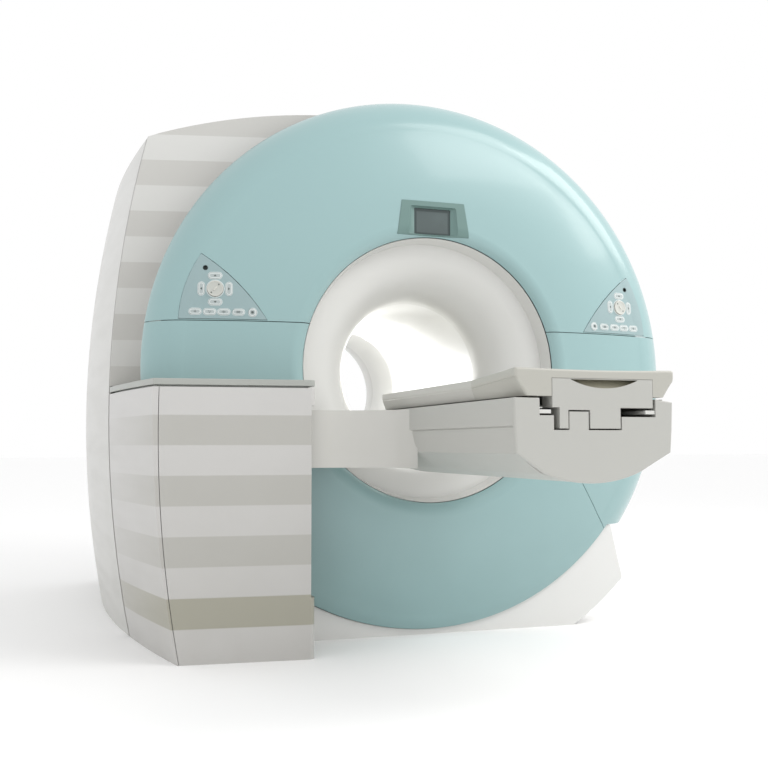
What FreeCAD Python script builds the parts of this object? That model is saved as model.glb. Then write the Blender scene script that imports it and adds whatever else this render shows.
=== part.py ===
import FreeCAD, Part
import math
import os

# Whole-body magnetic resonance scanner, in millimetres.
# X runs across the scanner, Y runs along the bore into the magnet, Z is up.
# The origin is on the floor, straight below the centre of the magnet.
# Heights called "level" are counted from the bore axis, depths from the mouth of the bore.

# ---- driving dimensions: the magnet and its bore ----
AXIS_Z = 1045.0
MOUTH_Y = -1045.0
COVER_LENGTH = 2110.0
BORE_R = 300.0
LINER_WALL = 6.0
MOUTH_R = 527.0
THROAT_DEPTH = 302.0
REAR_MOUTH_R = 455.0
REAR_THROAT_DEPTH = 360.0
SHELL_WALL = 8.0
SEAM = 3.0
FIT = 0.5

# ---- the front ring ----
RING_R = 1116.0
RING_DEPTH = 178.0
DISC_R = 1022.0
COVER_SEAM_LEVEL = 164.0
SIDE_SEAM_TOP = (490.0, -190.0)
SIDE_SEAM_FOOT = (769.0, -622.0)

# ---- body behind the ring ----
DRUM_R = 1054.0
ROOF_R = 2200.0
ROOF_TOP_X = -400.0
BARREL_R = 4717.0
BARREL_LEVEL = -145.0
PLAN_R = 6200.0
PLAN_DEPTH = 1270.0
BODY_HALF_WIDTH = 1278.0
TOWER_FRONT_X = -1203.0
TOWER_FRONT_DEPTH = 390.0
TOWER_FRONT_TURN = 12.0
SHOULDER_FILLET = 30.0

# ---- plinth ----
PLINTH_TOP_LEVEL = -637.0
PLINTH_DEPTH = 60.0
PLINTH_SWELL = 183.0
PLINTH_ARC_R = AXIS_Z + PLINTH_SWELL
PLINTH_CORNER = (876.0, -852.0)
PLINTH_TOP_X = 824.0

# ---- pedestal ----
PED_RIGHT_X = -538.0
PED_FRONT_DEPTH = -258.0
PED_FRONT_TURN = 5.3
PED_CORNER_FILLET = 22.0
CAP_TOP_LEVEL = -69.0
CAP_THICKNESS = 22.0
CAP_GROOVE = 7.0
SLOT_TOP_LEVEL = -160.0
SLOT_CUT_X = -554.0
SLOT_BACK_DEPTH = -34.0

# ---- patient table, at the top of its lift ----
LIFT_TRAVEL = 420.0
TABLE_END_DEPTH = -1244.0
TABLE_HEAD_DEPTH = -52.0
TABLE_END_COVER = 14.0
TABLE_HALF_WIDTH = 231.0
TABLE_END_LEFT = -238.0
TABLE_END_RIGHT = 258.0
TABLE_SEAM_LEVEL = -252.0
TABLE_SIDE_FOOT = (226.0, -324.0)
TABLE_CHINE = (155.0, -376.0)
TABLE_KEEL_LEVEL = -405.0
TABLE_TOP_LEVEL = -171.0
TABLE_SKIN = 6.0
DECK_FOOT_LEVEL = -284.0
DECK_LEFT = -209.0
DECK_RIGHT = 214.0
RAIL_LEVELS = (-214.0, -203.0)
FRAME_LEVELS = (-330.0, -288.0)
COUCH_HALF_WIDTH = 226.0
COUCH_EDGE_LEVEL = -105.0
COUCH_TROUGH = 22.0
COUCH_FOOT_LEVEL = -166.0
WING_HALF_WIDTH = 265.0
WING_LENGTH = 325.0
WING_DRAW_IN = 30.0
RUN_CLEARANCE = 2.0
ARM_TOP_LEVEL = -174.0
ARM_FOOT_LEVEL = -381.0
ARM_FRONT_DEPTH = -200.0
ARM_SWEEP_R = 250.0
ARM_WALL = 6.0
SLOT_FOOT_LEVEL = ARM_FOOT_LEVEL - LIFT_TRAVEL - 32.0

# ---- inside ----
CRYO_R = 985.0
CRYO_START = 240.0
CRYO_LENGTH = 1640.0
COIL_CLEARANCE = 39.0
COIL_WALL = 95.0
CRYO_CLEARANCE = 10.0
COIL_BORE_R = BORE_R + LINER_WALL + COIL_CLEARANCE
COIL_R = COIL_BORE_R + COIL_WALL
CRYO_BORE_R = COIL_R + CRYO_CLEARANCE
SPINDLE_R = 20.0
SPINDLE_X = -800.0
SPINDLE_DEPTH = -30.0
SPINDLE_TOP_LEVEL = -131.0
COLUMN_HALF_WIDTH = 200.0
COLUMN_FRONT = 70.0
COLUMN_BACK = 140.0
COLUMN_TOP_LEVEL = -130.0
COLUMN_FOOT = 25.0
LIFT_RAIL_OFFSETS = (-170.0, 120.0)
LIFT_RAIL_WIDTH = 50.0
LIFT_RAIL_FRONT = 40.0
MOTOR_HALF = 55.0
MOTOR_TOP = 137.0
COLD_HEAD_X = -600.0
COLD_HEAD_DEPTH = 1000.0
COLD_HEAD_STEPS = [(125.0, 850.0), (85.0, 965.0)]
SADDLE_X = 430.0
SADDLE_INSET = 250.0

# ---- control panels ----
DIAL_AT = (858.0, 283.0)
DIAL_R = 30.0
PANEL_THICKNESS = 19.0
KEY_DEPTH = 12.0
KEY_FACETS = 10
KEY_CLEARANCE = 0.6
KEY_PROUD = 4.0

os.makedirs("parts", exist_ok=True)
Vec = FreeCAD.Vector
BIG = 4000.0
REAR_DEPTH = COVER_LENGTH


def place(x, depth, level):
    """A point given across, behind the mouth and above the bore axis."""
    return Vec(x, MOUTH_Y + depth, AXIS_Z + level)


def box(x0, x1, depth0, depth1, level0, level1):
    """A block between two corners."""
    size = (x1 - x0, depth1 - depth0, level1 - level0)
    return Part.makeBox(size[0], size[1], size[2], place(x0, depth0, level0))


def tube(outer, inner, depth0, depth1):
    """A ring about the bore axis; an inner radius of 0 makes it a disc."""
    start = place(0, depth0, 0)
    body = Part.makeCylinder(outer, depth1 - depth0, start, Vec(0, 1, 0))
    if inner:
        body = body.cut(Part.makeCylinder(inner, depth1 - depth0, start, Vec(0, 1, 0)))
    return body


def polygon_wire(points, depth):
    """A closed wire of straight sides in a plane across the bore axis."""
    corners = [place(x, depth, level) for x, level in points]
    return Part.makePolygon(corners + [corners[0]])


def prism(points, depth0, depth1):
    """A straight-sided outline given across and up, run along the bore."""
    return Part.Face(polygon_wire(points, depth0)).extrude(Vec(0, depth1 - depth0, 0))


def run_edges(edges, length):
    """A closed outline of edges, run along the bore."""
    wire = Part.Wire(Part.__sortEdges__(edges))
    return Part.Face(wire).extrude(Vec(0, length, 0))


def plan_prism(points, level0, level1):
    """A straight-sided outline given in plan, run upwards."""
    corners = [place(x, depth, level0) for x, depth in points]
    wire = Part.makePolygon(corners + [corners[0]])
    return Part.Face(wire).extrude(Vec(0, 0, level1 - level0))


def spin(edges):
    """A closed profile in radius and depth, turned about the bore axis."""
    wire = Part.Wire(Part.__sortEdges__(edges))
    return Part.Face(wire).revolve(place(0, 0, 0), Vec(0, 1, 0), 360)


def arc_points(first, middle, last, steps):
    """Evenly turned points on the arc through three points, both ends among them."""
    (x0, y0), (x1, y1), (x2, y2) = first, middle, last
    cross = 2 * (x0 * (y1 - y2) + x1 * (y2 - y0) + x2 * (y0 - y1))
    q0, q1, q2 = x0 ** 2 + y0 ** 2, x1 ** 2 + y1 ** 2, x2 ** 2 + y2 ** 2
    cx = (q0 * (y1 - y2) + q1 * (y2 - y0) + q2 * (y0 - y1)) / cross
    cy = (q0 * (x2 - x1) + q1 * (x0 - x2) + q2 * (x1 - x0)) / cross
    radius = math.hypot(x0 - cx, y0 - cy)
    start = math.atan2(y0 - cy, x0 - cx)
    turn = math.atan2(y2 - cy, x2 - cx) - start
    turn = (turn + math.pi) % (2 * math.pi) - math.pi
    angles = [start + turn * step / steps for step in range(steps + 1)]
    return [(cx + radius * math.cos(a), cy + radius * math.sin(a)) for a in angles]


def profile_lines(points):
    """Straight edges through points given as radius and depth."""
    spots = [place(r, depth, 0) for r, depth in points]
    return [Part.makeLine(a, b) for a, b in zip(spots, spots[1:])]


def largest(shape):
    """The largest solid of a cut shape, as a clean solid."""
    return max(shape.Solids, key=lambda solid: solid.Volume)


def save(name, shape):
    """Write one piece."""
    shape.exportStep("parts/" + name + ".step")


# ---- front ring: a pillow-shaped section turned about the bore ----
LIP_ARC = [(MOUTH_R, 0.0), (548.0, -15.0), (590.0, -20.0)]
FACE_ARC = [(590.0, -20.0), (780.0, -4.0), (962.0, 32.0)]
RIM_ARC = [(962.0, 32.0), (1074.0, 84.0), (RING_R, 150.0)]
LIP_STEPS = 2
FACE_STEPS = 3
RIM_STEPS = 4
RING_BACK = [(RING_R, 150.0), (1113.0, 168.0), (1104.0, RING_DEPTH)]


def face_points():
    """The ring's face as short chords of its three arcs, from the mouth to the rim."""
    points = arc_points(*LIP_ARC, LIP_STEPS)
    points += arc_points(*FACE_ARC, FACE_STEPS)[1:]
    points += arc_points(*RIM_ARC, RIM_STEPS)[1:]
    return points


def face_depth(radius):
    """The depth of the ring's face at a radius, and its slope there."""
    (r0, d0), (r1, d1), (r2, d2) = FACE_ARC
    circle = Part.Arc(Vec(r0, d0, 0), Vec(r1, d1, 0), Vec(r2, d2, 0)).toShape().Curve
    run = radius - circle.Center.x
    rise = math.sqrt(circle.Radius ** 2 - run ** 2)
    return circle.Center.y - rise, run / rise


def ring_section(lift, back):
    """The ring's skin between two surfaces: lift stands out of its face, back lies behind it."""
    front = [(r, depth - lift) for r, depth in face_points()]
    stops = (0, LIP_STEPS, LIP_STEPS + FACE_STEPS, -1)
    rear = [(front[stop][0], front[stop][1] + lift + back) for stop in stops]
    return spin(profile_lines(front + rear[::-1] + front[:1]))


def ring_shell():
    """The ring's whole skin, with the rim that turns back at its outer edge."""
    inner = [(MOUTH_R + 3, 8.0), (562.0, -7.0), (780.0, 8.0), (955.0, 42.0), (1062.0, 94.0),
             (1100.0, RING_DEPTH)]
    face = face_points()
    return spin(profile_lines(face + RING_BACK[1:] + inner[::-1] + face[:1]))


def side_seam_line(x_shift, mirror):
    """Two far points of the slanting seam beside the lower cover."""
    (x0, l0), (x1, l1) = SIDE_SEAM_TOP, SIDE_SEAM_FOOT
    run_x, run_l = x1 - x0, l1 - l0
    upper = (mirror * (x0 - 0.4 * run_x + x_shift), l0 - 0.4 * run_l)
    lower = (mirror * (x0 + 3.0 * run_x + x_shift), l0 + 3.0 * run_l)
    return upper, lower


def lower_sector():
    """The region of the lower front cover, between the two slanting seams."""
    right_up, right_down = side_seam_line(-SEAM, 1)
    left_up, left_down = side_seam_line(-SEAM, -1)
    return prism([left_up, right_up, right_down, left_down], -400, 400)


def side_sector(mirror):
    """The region of a side cover, from the level seam down to the slanting seam."""
    upper, lower = side_seam_line(0, mirror)
    top = COVER_SEAM_LEVEL - SEAM / 2
    start = (mirror * 300.0, top)
    points = [start, upper, lower, (mirror * BIG, lower[1]), (mirror * BIG, top)]
    return prism(points, -400, 400)


def pedestal_bay(clear):
    """The space that the pedestal takes out of the ring and the drum."""
    return box(-BIG, PED_RIGHT_X + clear, -600, 700, -BIG, CAP_TOP_LEVEL + clear)


def ring_covers():
    """The four front covers."""
    shell = ring_shell()
    foot_rim = tube(RING_R + 60, DISC_R, -200, 400)
    foot_rim = foot_rim.common(box(-BIG, BIG, -300, 500, -BIG, PLINTH_TOP_LEVEL + SEAM))
    shell = shell.cut(foot_rim)
    upper = shell.common(box(-BIG, BIG, -400, 400, COVER_SEAM_LEVEL + SEAM / 2, BIG))
    right = shell.common(side_sector(1))
    left = shell.common(side_sector(-1)).cut(pedestal_bay(SEAM))
    lower = shell.common(lower_sector()).cut(pedestal_bay(SEAM))
    return upper, right, left, lower


# ---- display ----
DISPLAY_TRAY = [(-152.0, 531.0), (152.0, 531.0), (132.0, 668.0), (-132.0, 668.0)]
SCREEN_HALF = 76.0
SCREEN_FOOT = 538.0
SCREEN_TOP = 641.0


def grown(points, step, centre):
    """An outline with its corners moved outwards from its middle."""
    result = []
    for x, level in points:
        way_x = 1 if x > centre[0] else -1
        way_l = 1 if level > centre[1] else -1
        result.append((x + way_x * step, level + way_l * step))
    return result


def display_parts(upper):
    """A flared tray let into the upper cover over the mouth, with the screen at its bottom."""
    middle = (0.0, (SCREEN_FOOT + SCREEN_TOP) / 2)
    opening = prism(grown(DISPLAY_TRAY, FIT, middle), -200, 60)
    upper = largest(upper.cut(opening))
    block = tube(760, MOUTH_R + 1, -60, 16).common(prism(DISPLAY_TRAY, -60, 16))
    front = ring_section(1.5, 60)
    tray = block.common(front)
    seat = [(-SCREEN_HALF - FIT, SCREEN_FOOT - FIT), (SCREEN_HALF + FIT, SCREEN_FOOT - FIT),
            (SCREEN_HALF + FIT, SCREEN_TOP + FIT), (-SCREEN_HALF - FIT, SCREEN_TOP + FIT)]
    flare = [(-138.0, SCREEN_FOOT - 3), (138.0, SCREEN_FOOT - 3), (122.0, 656.0), (-122.0, 656.0)]
    pocket = Part.makeLoft([polygon_wire(seat, -6), polygon_wire(flare, -40)], True, True)
    tray = largest(tray.cut(pocket).cut(prism(seat, -7, 6)))
    screen = box(-SCREEN_HALF, SCREEN_HALF, -4, 5.5, SCREEN_FOOT, SCREEN_TOP)
    upright = [edge for edge in screen.Edges if abs(edge.tangentAt(edge.FirstParameter).y) > 0.9]
    screen = screen.makeFillet(4, upright)
    return upper, tray, screen


# ---- control panels ----
PANEL_FOOT = 170.0
PANEL_APEX = (908.0, 417.0)
PANEL_OUTER = 990.0
PANEL_INNER = 668.0


def panel_outline(grow, mirror):
    """The three-cornered outline with two bowed sides, as a closed list of edges."""
    outer = (PANEL_OUTER + grow, PANEL_FOOT - grow)
    inner = (PANEL_INNER - grow * 1.6, PANEL_FOOT - grow)
    apex = (PANEL_APEX[0] - grow * 0.2, PANEL_APEX[1] + grow * 1.6)
    bow_out = ((outer[0] + apex[0]) / 2 + 16 + grow * 0.4, (outer[1] + apex[1]) / 2 + 6)
    bow_in = ((inner[0] + apex[0]) / 2 - 12 - grow * 0.7, (inner[1] + apex[1]) / 2 + 13 + grow * 0.7)
    spots = [place(mirror * x, -200, level) for x, level in (outer, bow_out, apex, bow_in, inner)]
    edges = [Part.Arc(spots[0], spots[1], spots[2]).toShape()]
    edges.append(Part.Arc(spots[2], spots[3], spots[4]).toShape())
    edges.append(Part.makeLine(spots[4], spots[0]))
    return edges


def key_axis():
    """The direction that the left panel's keys stand out in, square to the ring's face at its dial."""
    radius = math.hypot(DIAL_AT[0], DIAL_AT[1])
    slope = face_depth(radius)[1]
    around = math.atan2(DIAL_AT[1], DIAL_AT[0])
    return Vec(-slope * math.cos(around), -1, slope * math.sin(around)).normalize()


def on_face(x, level):
    """The point of the left half of the ring's face at a place seen from the front."""
    depth = face_depth(math.hypot(x, level))[0]
    return place(-x, depth, level)


def key_bar(x, level, half_w, half_h, low, high):
    """An oval or round bar square to the panel, from below its face to above it."""
    out = key_axis()
    across = Vec(-out.y, out.x, 0).normalize()
    up = across.cross(out * -1)
    base = on_face(x, level) + out * low
    radius = min(half_w, half_h)
    run = abs(half_w - half_h)
    along, side = (across, up) if half_w > half_h else (up, across)
    corners = []
    for end in (1, -1):
        for step in range(KEY_FACETS + 1):
            turn = math.pi * step / KEY_FACETS - math.pi / 2
            reach = end * (run + radius * math.cos(turn))
            corners.append(base + along * reach + side * (end * radius * math.sin(turn)))
    if run == 0:
        corners = corners[:KEY_FACETS] + corners[KEY_FACETS + 1:-1]
    outline = Part.makePolygon(corners + [corners[0]])
    return Part.Face(outline).extrude(out * (high - low))


# name, across and up as seen from the front, half width, half height
KEYS = [("up", 858, 333, 24, 11), ("down", 858, 233, 24, 11),
        ("in", 808, 283, 11, 24), ("out", 908, 283, 11, 24),
        ("light", 930, 197, 22, 10.5), ("fan", 878, 196, 22, 10.5),
        ("talk", 827, 196, 22, 10.5), ("home", 774, 196, 22, 10.5),
        ("stop", 722, 196, 15, 15)]


def panel_set():
    """The left control panel with its keys and dial."""
    panel = run_edges(panel_outline(0, -1), 500).common(ring_section(1.5, 60))
    back = Part.makeCylinder(400, 100, on_face(*DIAL_AT) - key_axis() * PANEL_THICKNESS, key_axis() * -1)
    panel = panel.cut(back)
    pieces = {}
    for name, x, level, half_w, half_h in KEYS:
        hole = key_bar(x, level, half_w + KEY_CLEARANCE, half_h + KEY_CLEARANCE, -60, 60)
        panel = panel.cut(hole)
        pieces["key_" + name] = key_bar(x, level, half_w, half_h, -KEY_DEPTH, KEY_PROUD)
    hole_r = DIAL_R + KEY_CLEARANCE
    panel = panel.cut(key_bar(DIAL_AT[0], DIAL_AT[1], hole_r, hole_r, -60, 60))
    pieces["dial"] = dial()
    pieces["control_panel"] = largest(panel)
    return pieces


def panel_parts(upper):
    """Both control panels, mirrored; the upper cover gets the openings that they sit in."""
    pieces = {}
    for name, shape in panel_set().items():
        pieces[name + "_left"] = shape
        pieces[name + "_right"] = shape.mirror(Vec(0, 0, 0), Vec(1, 0, 0))
    for mirror in (-1, 1):
        upper = largest(upper.cut(run_edges(panel_outline(FIT, mirror), 500)))
    return upper, pieces


def dial():
    """A round knob with a finger dish in its face."""
    out = key_axis()
    base = on_face(DIAL_AT[0], DIAL_AT[1]) - out * (KEY_DEPTH + 2)
    height = KEY_DEPTH + 2 + 9.0
    knob = Part.makeCylinder(DIAL_R, height, base, out)
    return knob.cut(Part.makeCylinder(DIAL_R - 6, 10, base + out * (height - 2.4), out))


# ---- bore ----
def trumpet(mouth_r, mouth_depth, throat_depth, wall):
    """A flared liner whose section is a quarter of an ellipse, from the mouth to the bore."""
    way = 1 if throat_depth > mouth_depth else -1
    steps = 6
    inside = []
    outside = []
    for step in range(steps + 1):
        turn = math.pi / 2 * step / steps
        radius = mouth_r - (mouth_r - BORE_R) * math.sin(turn)
        depth = throat_depth - (throat_depth - mouth_depth) * math.cos(turn)
        inside.append((radius, depth))
        if step % 2 == 0:
            outside.append((radius + wall * math.sin(turn), depth + way * wall * math.cos(turn)))
    return spin(profile_lines(inside + outside[::-1] + inside[:1]))


def front_funnel():
    """The white funnel inside the ring: a straight lip, then a flare down to the bore."""
    steps = 5
    lip = 70.0
    mouth = MOUTH_R - 2
    inside = [(mouth, 3.0)]
    for step in range(steps + 1):
        turn = math.pi / 2 * step / steps
        radius = BORE_R + (mouth - 14 - BORE_R) * (1 - math.sin(turn))
        depth = lip + (THROAT_DEPTH - lip) * (1 - math.cos(turn))
        inside.append((radius, depth))
    wall = [(mouth + 1.5, 7.0), (mouth + 4, 78.0), (410.0, 104.0), (BORE_R + LINER_WALL, THROAT_DEPTH)]
    return spin(profile_lines(inside + wall[::-1] + inside[:1]))


def coil_parts():
    """The vacuum vessel, the gradient coil and the bore liner, one inside the next."""
    vessel = tube(CRYO_R, CRYO_BORE_R, CRYO_START, CRYO_START + CRYO_LENGTH)
    coil = tube(COIL_R, COIL_BORE_R, CRYO_START + 20, CRYO_START + CRYO_LENGTH - 20)
    liner_end = REAR_DEPTH - REAR_THROAT_DEPTH
    liner = tube(BORE_R + LINER_WALL, BORE_R, THROAT_DEPTH + 1, liner_end - 1)
    return vessel, coil, liner


# ---- left body: a barrel-shaped side under a bowed roof ----
def barrel(inset):
    """The space inside the bowed left side; an inset one is the inner wall, of a few straight bands."""
    radius = PLAN_R - inset
    centre_x = -BODY_HALF_WIDTH + PLAN_R
    arc_r = BARREL_R - inset
    low, high = -1400.0, 1250.0

    def at(level):
        drop = arc_r - math.sqrt(arc_r ** 2 - (level - BARREL_LEVEL) ** 2)
        return place(centre_x - radius + drop, PLAN_DEPTH, level)

    inner_x = centre_x - radius + 1350
    foot = place(inner_x, PLAN_DEPTH, low)
    head = place(inner_x, PLAN_DEPTH, high)
    bands = 6
    stops = [at(low + (high - low) * band / bands) for band in range(bands + 1)]
    edges = [Part.makeLine(a, b) for a, b in zip(stops, stops[1:])]
    if inset == 0:
        edges = [Part.Arc(at(low), at(BARREL_LEVEL), at(high)).toShape()]
    edges += [Part.makeLine(at(high), head), Part.makeLine(head, foot), Part.makeLine(foot, at(low))]
    face = Part.Face(Part.Wire(edges))
    hub = place(centre_x, PLAN_DEPTH, 0)
    face.rotate(hub, Vec(0, 0, 1), -12)
    return face.revolve(hub, Vec(0, 0, 1), 31)


def roof_space(inset):
    """The space under the roof, left of the middle: a bowed left part and a level right part."""
    top = DRUM_R - inset
    radius = ROOF_R - inset
    far_x = -1320.0
    mid_x = (far_x + ROOF_TOP_X) / 2

    def at(x):
        drop = radius - math.sqrt(radius ** 2 - (x - ROOF_TOP_X) ** 2)
        return place(x, 0, top - drop)

    edges = [Part.Arc(at(far_x), at(mid_x), at(ROOF_TOP_X)).toShape(),
             Part.makeLine(at(ROOF_TOP_X), place(0, 0, top)),
             Part.makeLine(place(0, 0, top), place(0, 0, -AXIS_Z)),
             Part.makeLine(place(0, 0, -AXIS_Z), place(far_x, 0, -AXIS_Z)),
             Part.makeLine(place(far_x, 0, -AXIS_Z), at(far_x))]
    return run_edges(edges, REAR_DEPTH + 60)


def behind_tower_front(setback):
    """Everything behind the tower's front plane, which is turned a little in plan."""
    block = Part.makeBox(2 * BIG, BIG, 2 * BIG, Vec(-BIG, setback, -BIG))
    block.rotate(Vec(0, 0, 0), Vec(0, 0, 1), -TOWER_FRONT_TURN)
    block.translate(place(TOWER_FRONT_X, TOWER_FRONT_DEPTH, 0))
    return block


def tower_parts():
    """The tall left body: front plate with its round cut-out, side wall and roof."""
    body_end = REAR_DEPTH - 14
    outer = barrel(0).common(roof_space(0))
    left_of_drum = box(-BIG, -2 * SEAM, -500, body_end, -AXIS_Z, BIG)
    outer = largest(outer.common(behind_tower_front(0)).common(left_of_drum))
    shoulder = []
    for edge in outer.Edges:
        mid = edge.valueAt((edge.FirstParameter + edge.LastParameter) / 2)
        if mid.z - AXIS_Z > 850 and mid.x < -950 and edge.Length > 900:
            shoulder.append(edge)
    outer = outer.makeFillet(SHOULDER_FILLET, shoulder)
    drum = tube(DRUM_R - SHELL_WALL, 0, -100, REAR_DEPTH)
    collar = tube(DRUM_R, DRUM_R - SHELL_WALL, RING_DEPTH + SEAM, 600).cut(behind_tower_front(1))
    front = outer.cut(behind_tower_front(12)).cut(drum).fuse(collar).removeSplitter()
    front = front.common(box(-BIG, -2 * SEAM, -500, 1500, CAP_TOP_LEVEL + SEAM, BIG))
    rest = outer.common(behind_tower_front(12 + SEAM))
    wall_in = barrel(SHELL_WALL)
    side = rest.cut(wall_in)
    side = side.fuse(rest.cut(barrel(34)).cut(roof_space(SHELL_WALL)))
    side = largest(side.removeSplitter())
    roof = rest.common(barrel(34 + SEAM)).cut(roof_space(SHELL_WALL))
    return largest(front), side, largest(roof)


def drum_cover():
    """The round cover on the right, from the ring back to the rear plate."""
    shell = tube(DRUM_R, DRUM_R - SHELL_WALL, RING_DEPTH + SEAM, REAR_DEPTH - 14)
    shell = shell.cut(box(-BIG, -SEAM, -500, BIG, -BIG, BIG))
    shell = shell.cut(box(-BIG, BIG, -100, BIG, -BIG, PLINTH_TOP_LEVEL + SEAM))
    return largest(shell)


def pedestal_parts():
    """The pedestal in front of the ring: a cover open at the top and back, and its cap."""
    turn = math.tan(math.radians(PED_FRONT_TURN))
    far = 1500.0
    left = (-far, PED_FRONT_DEPTH + (far + PED_RIGHT_X) * turn)
    right = (PED_RIGHT_X, PED_FRONT_DEPTH)
    plan = [left, right, (PED_RIGHT_X, 1200.0), (-far, 1200.0)]
    block = plan_prism(plan, -AXIS_Z, CAP_TOP_LEVEL).common(barrel(0))
    inside_drum = tube(DRUM_R + SEAM, 0, RING_DEPTH + SEAM, 900)
    block = largest(block.cut(behind_tower_front(-SEAM)).cut(inside_drum))
    corners = []
    for edge in block.Edges:
        mid = edge.valueAt((edge.FirstParameter + edge.LastParameter) / 2)
        if abs(mid.x - PED_RIGHT_X) < 1 and mid.y - MOUTH_Y < PED_FRONT_DEPTH + 2 and edge.Length > 500:
            corners.append(edge)
    block = block.makeFillet(PED_CORNER_FILLET, corners)
    wall = SHELL_WALL
    inner_plan = [(-far, left[1] + wall), (PED_RIGHT_X - wall, PED_FRONT_DEPTH + wall),
                  (PED_RIGHT_X - wall, 2000.0), (-far, 2000.0)]
    hollow = plan_prism(inner_plan, -AXIS_Z - 10, BIG / 2).common(barrel(wall))
    cover_top = CAP_TOP_LEVEL - CAP_THICKNESS - CAP_GROOVE
    cover = block.common(box(-BIG, BIG, -900, 2000, -AXIS_Z, cover_top)).cut(hollow)
    cover = cover.cut(box(-700, 0, 150, 900, -AXIS_Z - 5, BIG))
    slot = box(SLOT_CUT_X, PED_RIGHT_X + 5, -400, SLOT_BACK_DEPTH, SLOT_FOOT_LEVEL, SLOT_TOP_LEVEL)
    cover = largest(cover.cut(slot))
    cap = block.common(box(-BIG, BIG, -900, 2000, CAP_TOP_LEVEL - CAP_THICKNESS, CAP_TOP_LEVEL))
    lip_plan = [(-far, left[1] + 2 * wall), (PED_RIGHT_X - 2 * wall, PED_FRONT_DEPTH + 2 * wall),
                (PED_RIGHT_X - 2 * wall, 2000.0), (-far, 2000.0)]
    plug = plan_prism(lip_plan, CAP_TOP_LEVEL - CAP_THICKNESS - 25, CAP_TOP_LEVEL - 5)
    plug = plug.common(barrel(2 * wall)).cut(behind_tower_front(-30)).cut(inside_drum)
    return cover, largest(cap.fuse(plug).removeSplitter())


def slot_seal():
    """Two brush lips that close the arm's slot in the pedestal, on one frame."""
    frame = box(SLOT_CUT_X - 12, SLOT_CUT_X - 4, PED_FRONT_DEPTH + 16, SLOT_BACK_DEPTH + 14,
                SLOT_FOOT_LEVEL - 12, SLOT_TOP_LEVEL + 12)
    gap = box(SLOT_CUT_X - 20, SLOT_CUT_X, ARM_FRONT_DEPTH - 4, TABLE_HEAD_DEPTH + 4,
              SLOT_FOOT_LEVEL + 8, SLOT_TOP_LEVEL - 8)
    return frame.cut(gap)


def plinth():
    """The white base: a bulged right side on an arc about the bore, open below and at the left."""
    def outline(inset):
        arc_r = PLINTH_ARC_R - inset
        foot = AXIS_Z
        foot_x = math.sqrt(arc_r ** 2 - foot ** 2)
        angle_low = math.atan2(-foot, foot_x)
        corner_x, corner_l = PLINTH_CORNER[0] - inset, PLINTH_CORNER[1]
        angle_high = math.atan2(corner_l - 26, math.sqrt(arc_r ** 2 - (corner_l - 26) ** 2))
        mid = (angle_low + angle_high) / 2
        high = (arc_r * math.cos(angle_high), arc_r * math.sin(angle_high))
        low_pt = place(foot_x, PLINTH_DEPTH, -foot)
        mid_pt = place(arc_r * math.cos(mid), PLINTH_DEPTH, arc_r * math.sin(mid))
        high_pt = place(high[0], PLINTH_DEPTH, high[1])
        corner_pt = place(corner_x, PLINTH_DEPTH, corner_l)
        round_pt = place(corner_x - 5, PLINTH_DEPTH, (corner_l + high[1]) / 2 - 2)
        top_l = PLINTH_TOP_LEVEL - (inset if inset else 0)
        top_pt = place(PLINTH_TOP_X - inset, PLINTH_DEPTH, top_l)
        start = place(PED_RIGHT_X + SEAM, PLINTH_DEPTH, -foot)
        start_top = place(PED_RIGHT_X + SEAM, PLINTH_DEPTH, top_l)
        return [Part.makeLine(start, low_pt), Part.Arc(low_pt, mid_pt, high_pt).toShape(),
                Part.Arc(high_pt, round_pt, corner_pt).toShape(), Part.makeLine(corner_pt, top_pt),
                Part.makeLine(top_pt, start_top), Part.makeLine(start_top, start)]

    length = REAR_DEPTH - 14 - PLINTH_DEPTH
    body = run_edges(outline(0), length)
    inner = run_edges(outline(SHELL_WALL), length - 2 * SHELL_WALL)
    inner.translate(Vec(0, SHELL_WALL, 0))
    body = body.cut(inner)
    body = body.cut(box(PED_RIGHT_X, 600, PLINTH_DEPTH + SHELL_WALL, REAR_DEPTH - 14 - SHELL_WALL,
                        -AXIS_Z - 5, -AXIS_Z + 60))
    body = body.cut(tube(DISC_R + SEAM, 0, -100, REAR_DEPTH + 50))
    body = body.cut(box(PED_RIGHT_X, PED_RIGHT_X + SEAM + SHELL_WALL + 1, PLINTH_DEPTH + SHELL_WALL,
                        REAR_DEPTH, -AXIS_Z - 5, BIG))
    return largest(body)


def rear_parts():
    """The flat back of the housing with its own flared mouth."""
    plate_start = REAR_DEPTH - 14 + SEAM
    slab = box(-BIG, BIG, plate_start, REAR_DEPTH, -AXIS_Z, BIG)
    left = barrel(0).common(roof_space(0)).common(slab)
    right = tube(DRUM_R, 0, plate_start, REAR_DEPTH).common(slab)
    corner_x, corner_l = PLINTH_CORNER
    foot = prism([(-600, -AXIS_Z), (690, -AXIS_Z), (880, -905), (corner_x - 4, corner_l),
                  (PLINTH_TOP_X - 4, PLINTH_TOP_LEVEL), (-600, PLINTH_TOP_LEVEL)],
                 plate_start, REAR_DEPTH)
    plate = left.fuse([right, foot]).removeSplitter()
    plate = plate.cut(tube(REAR_MOUTH_R + 2, 0, 0, REAR_DEPTH + 100))
    collar = [(3, -8), (3, 14), (70, 20), (230, 7), (300, -2), (300, -8), (3, -8)]
    collar = [(REAR_MOUTH_R + r, REAR_DEPTH + depth) for r, depth in collar]
    plate = largest(plate.fuse(spin(profile_lines(collar))).removeSplitter())
    funnel = trumpet(REAR_MOUTH_R, REAR_DEPTH + 12, REAR_DEPTH - REAR_THROAT_DEPTH, LINER_WALL)
    return plate, funnel


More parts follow.
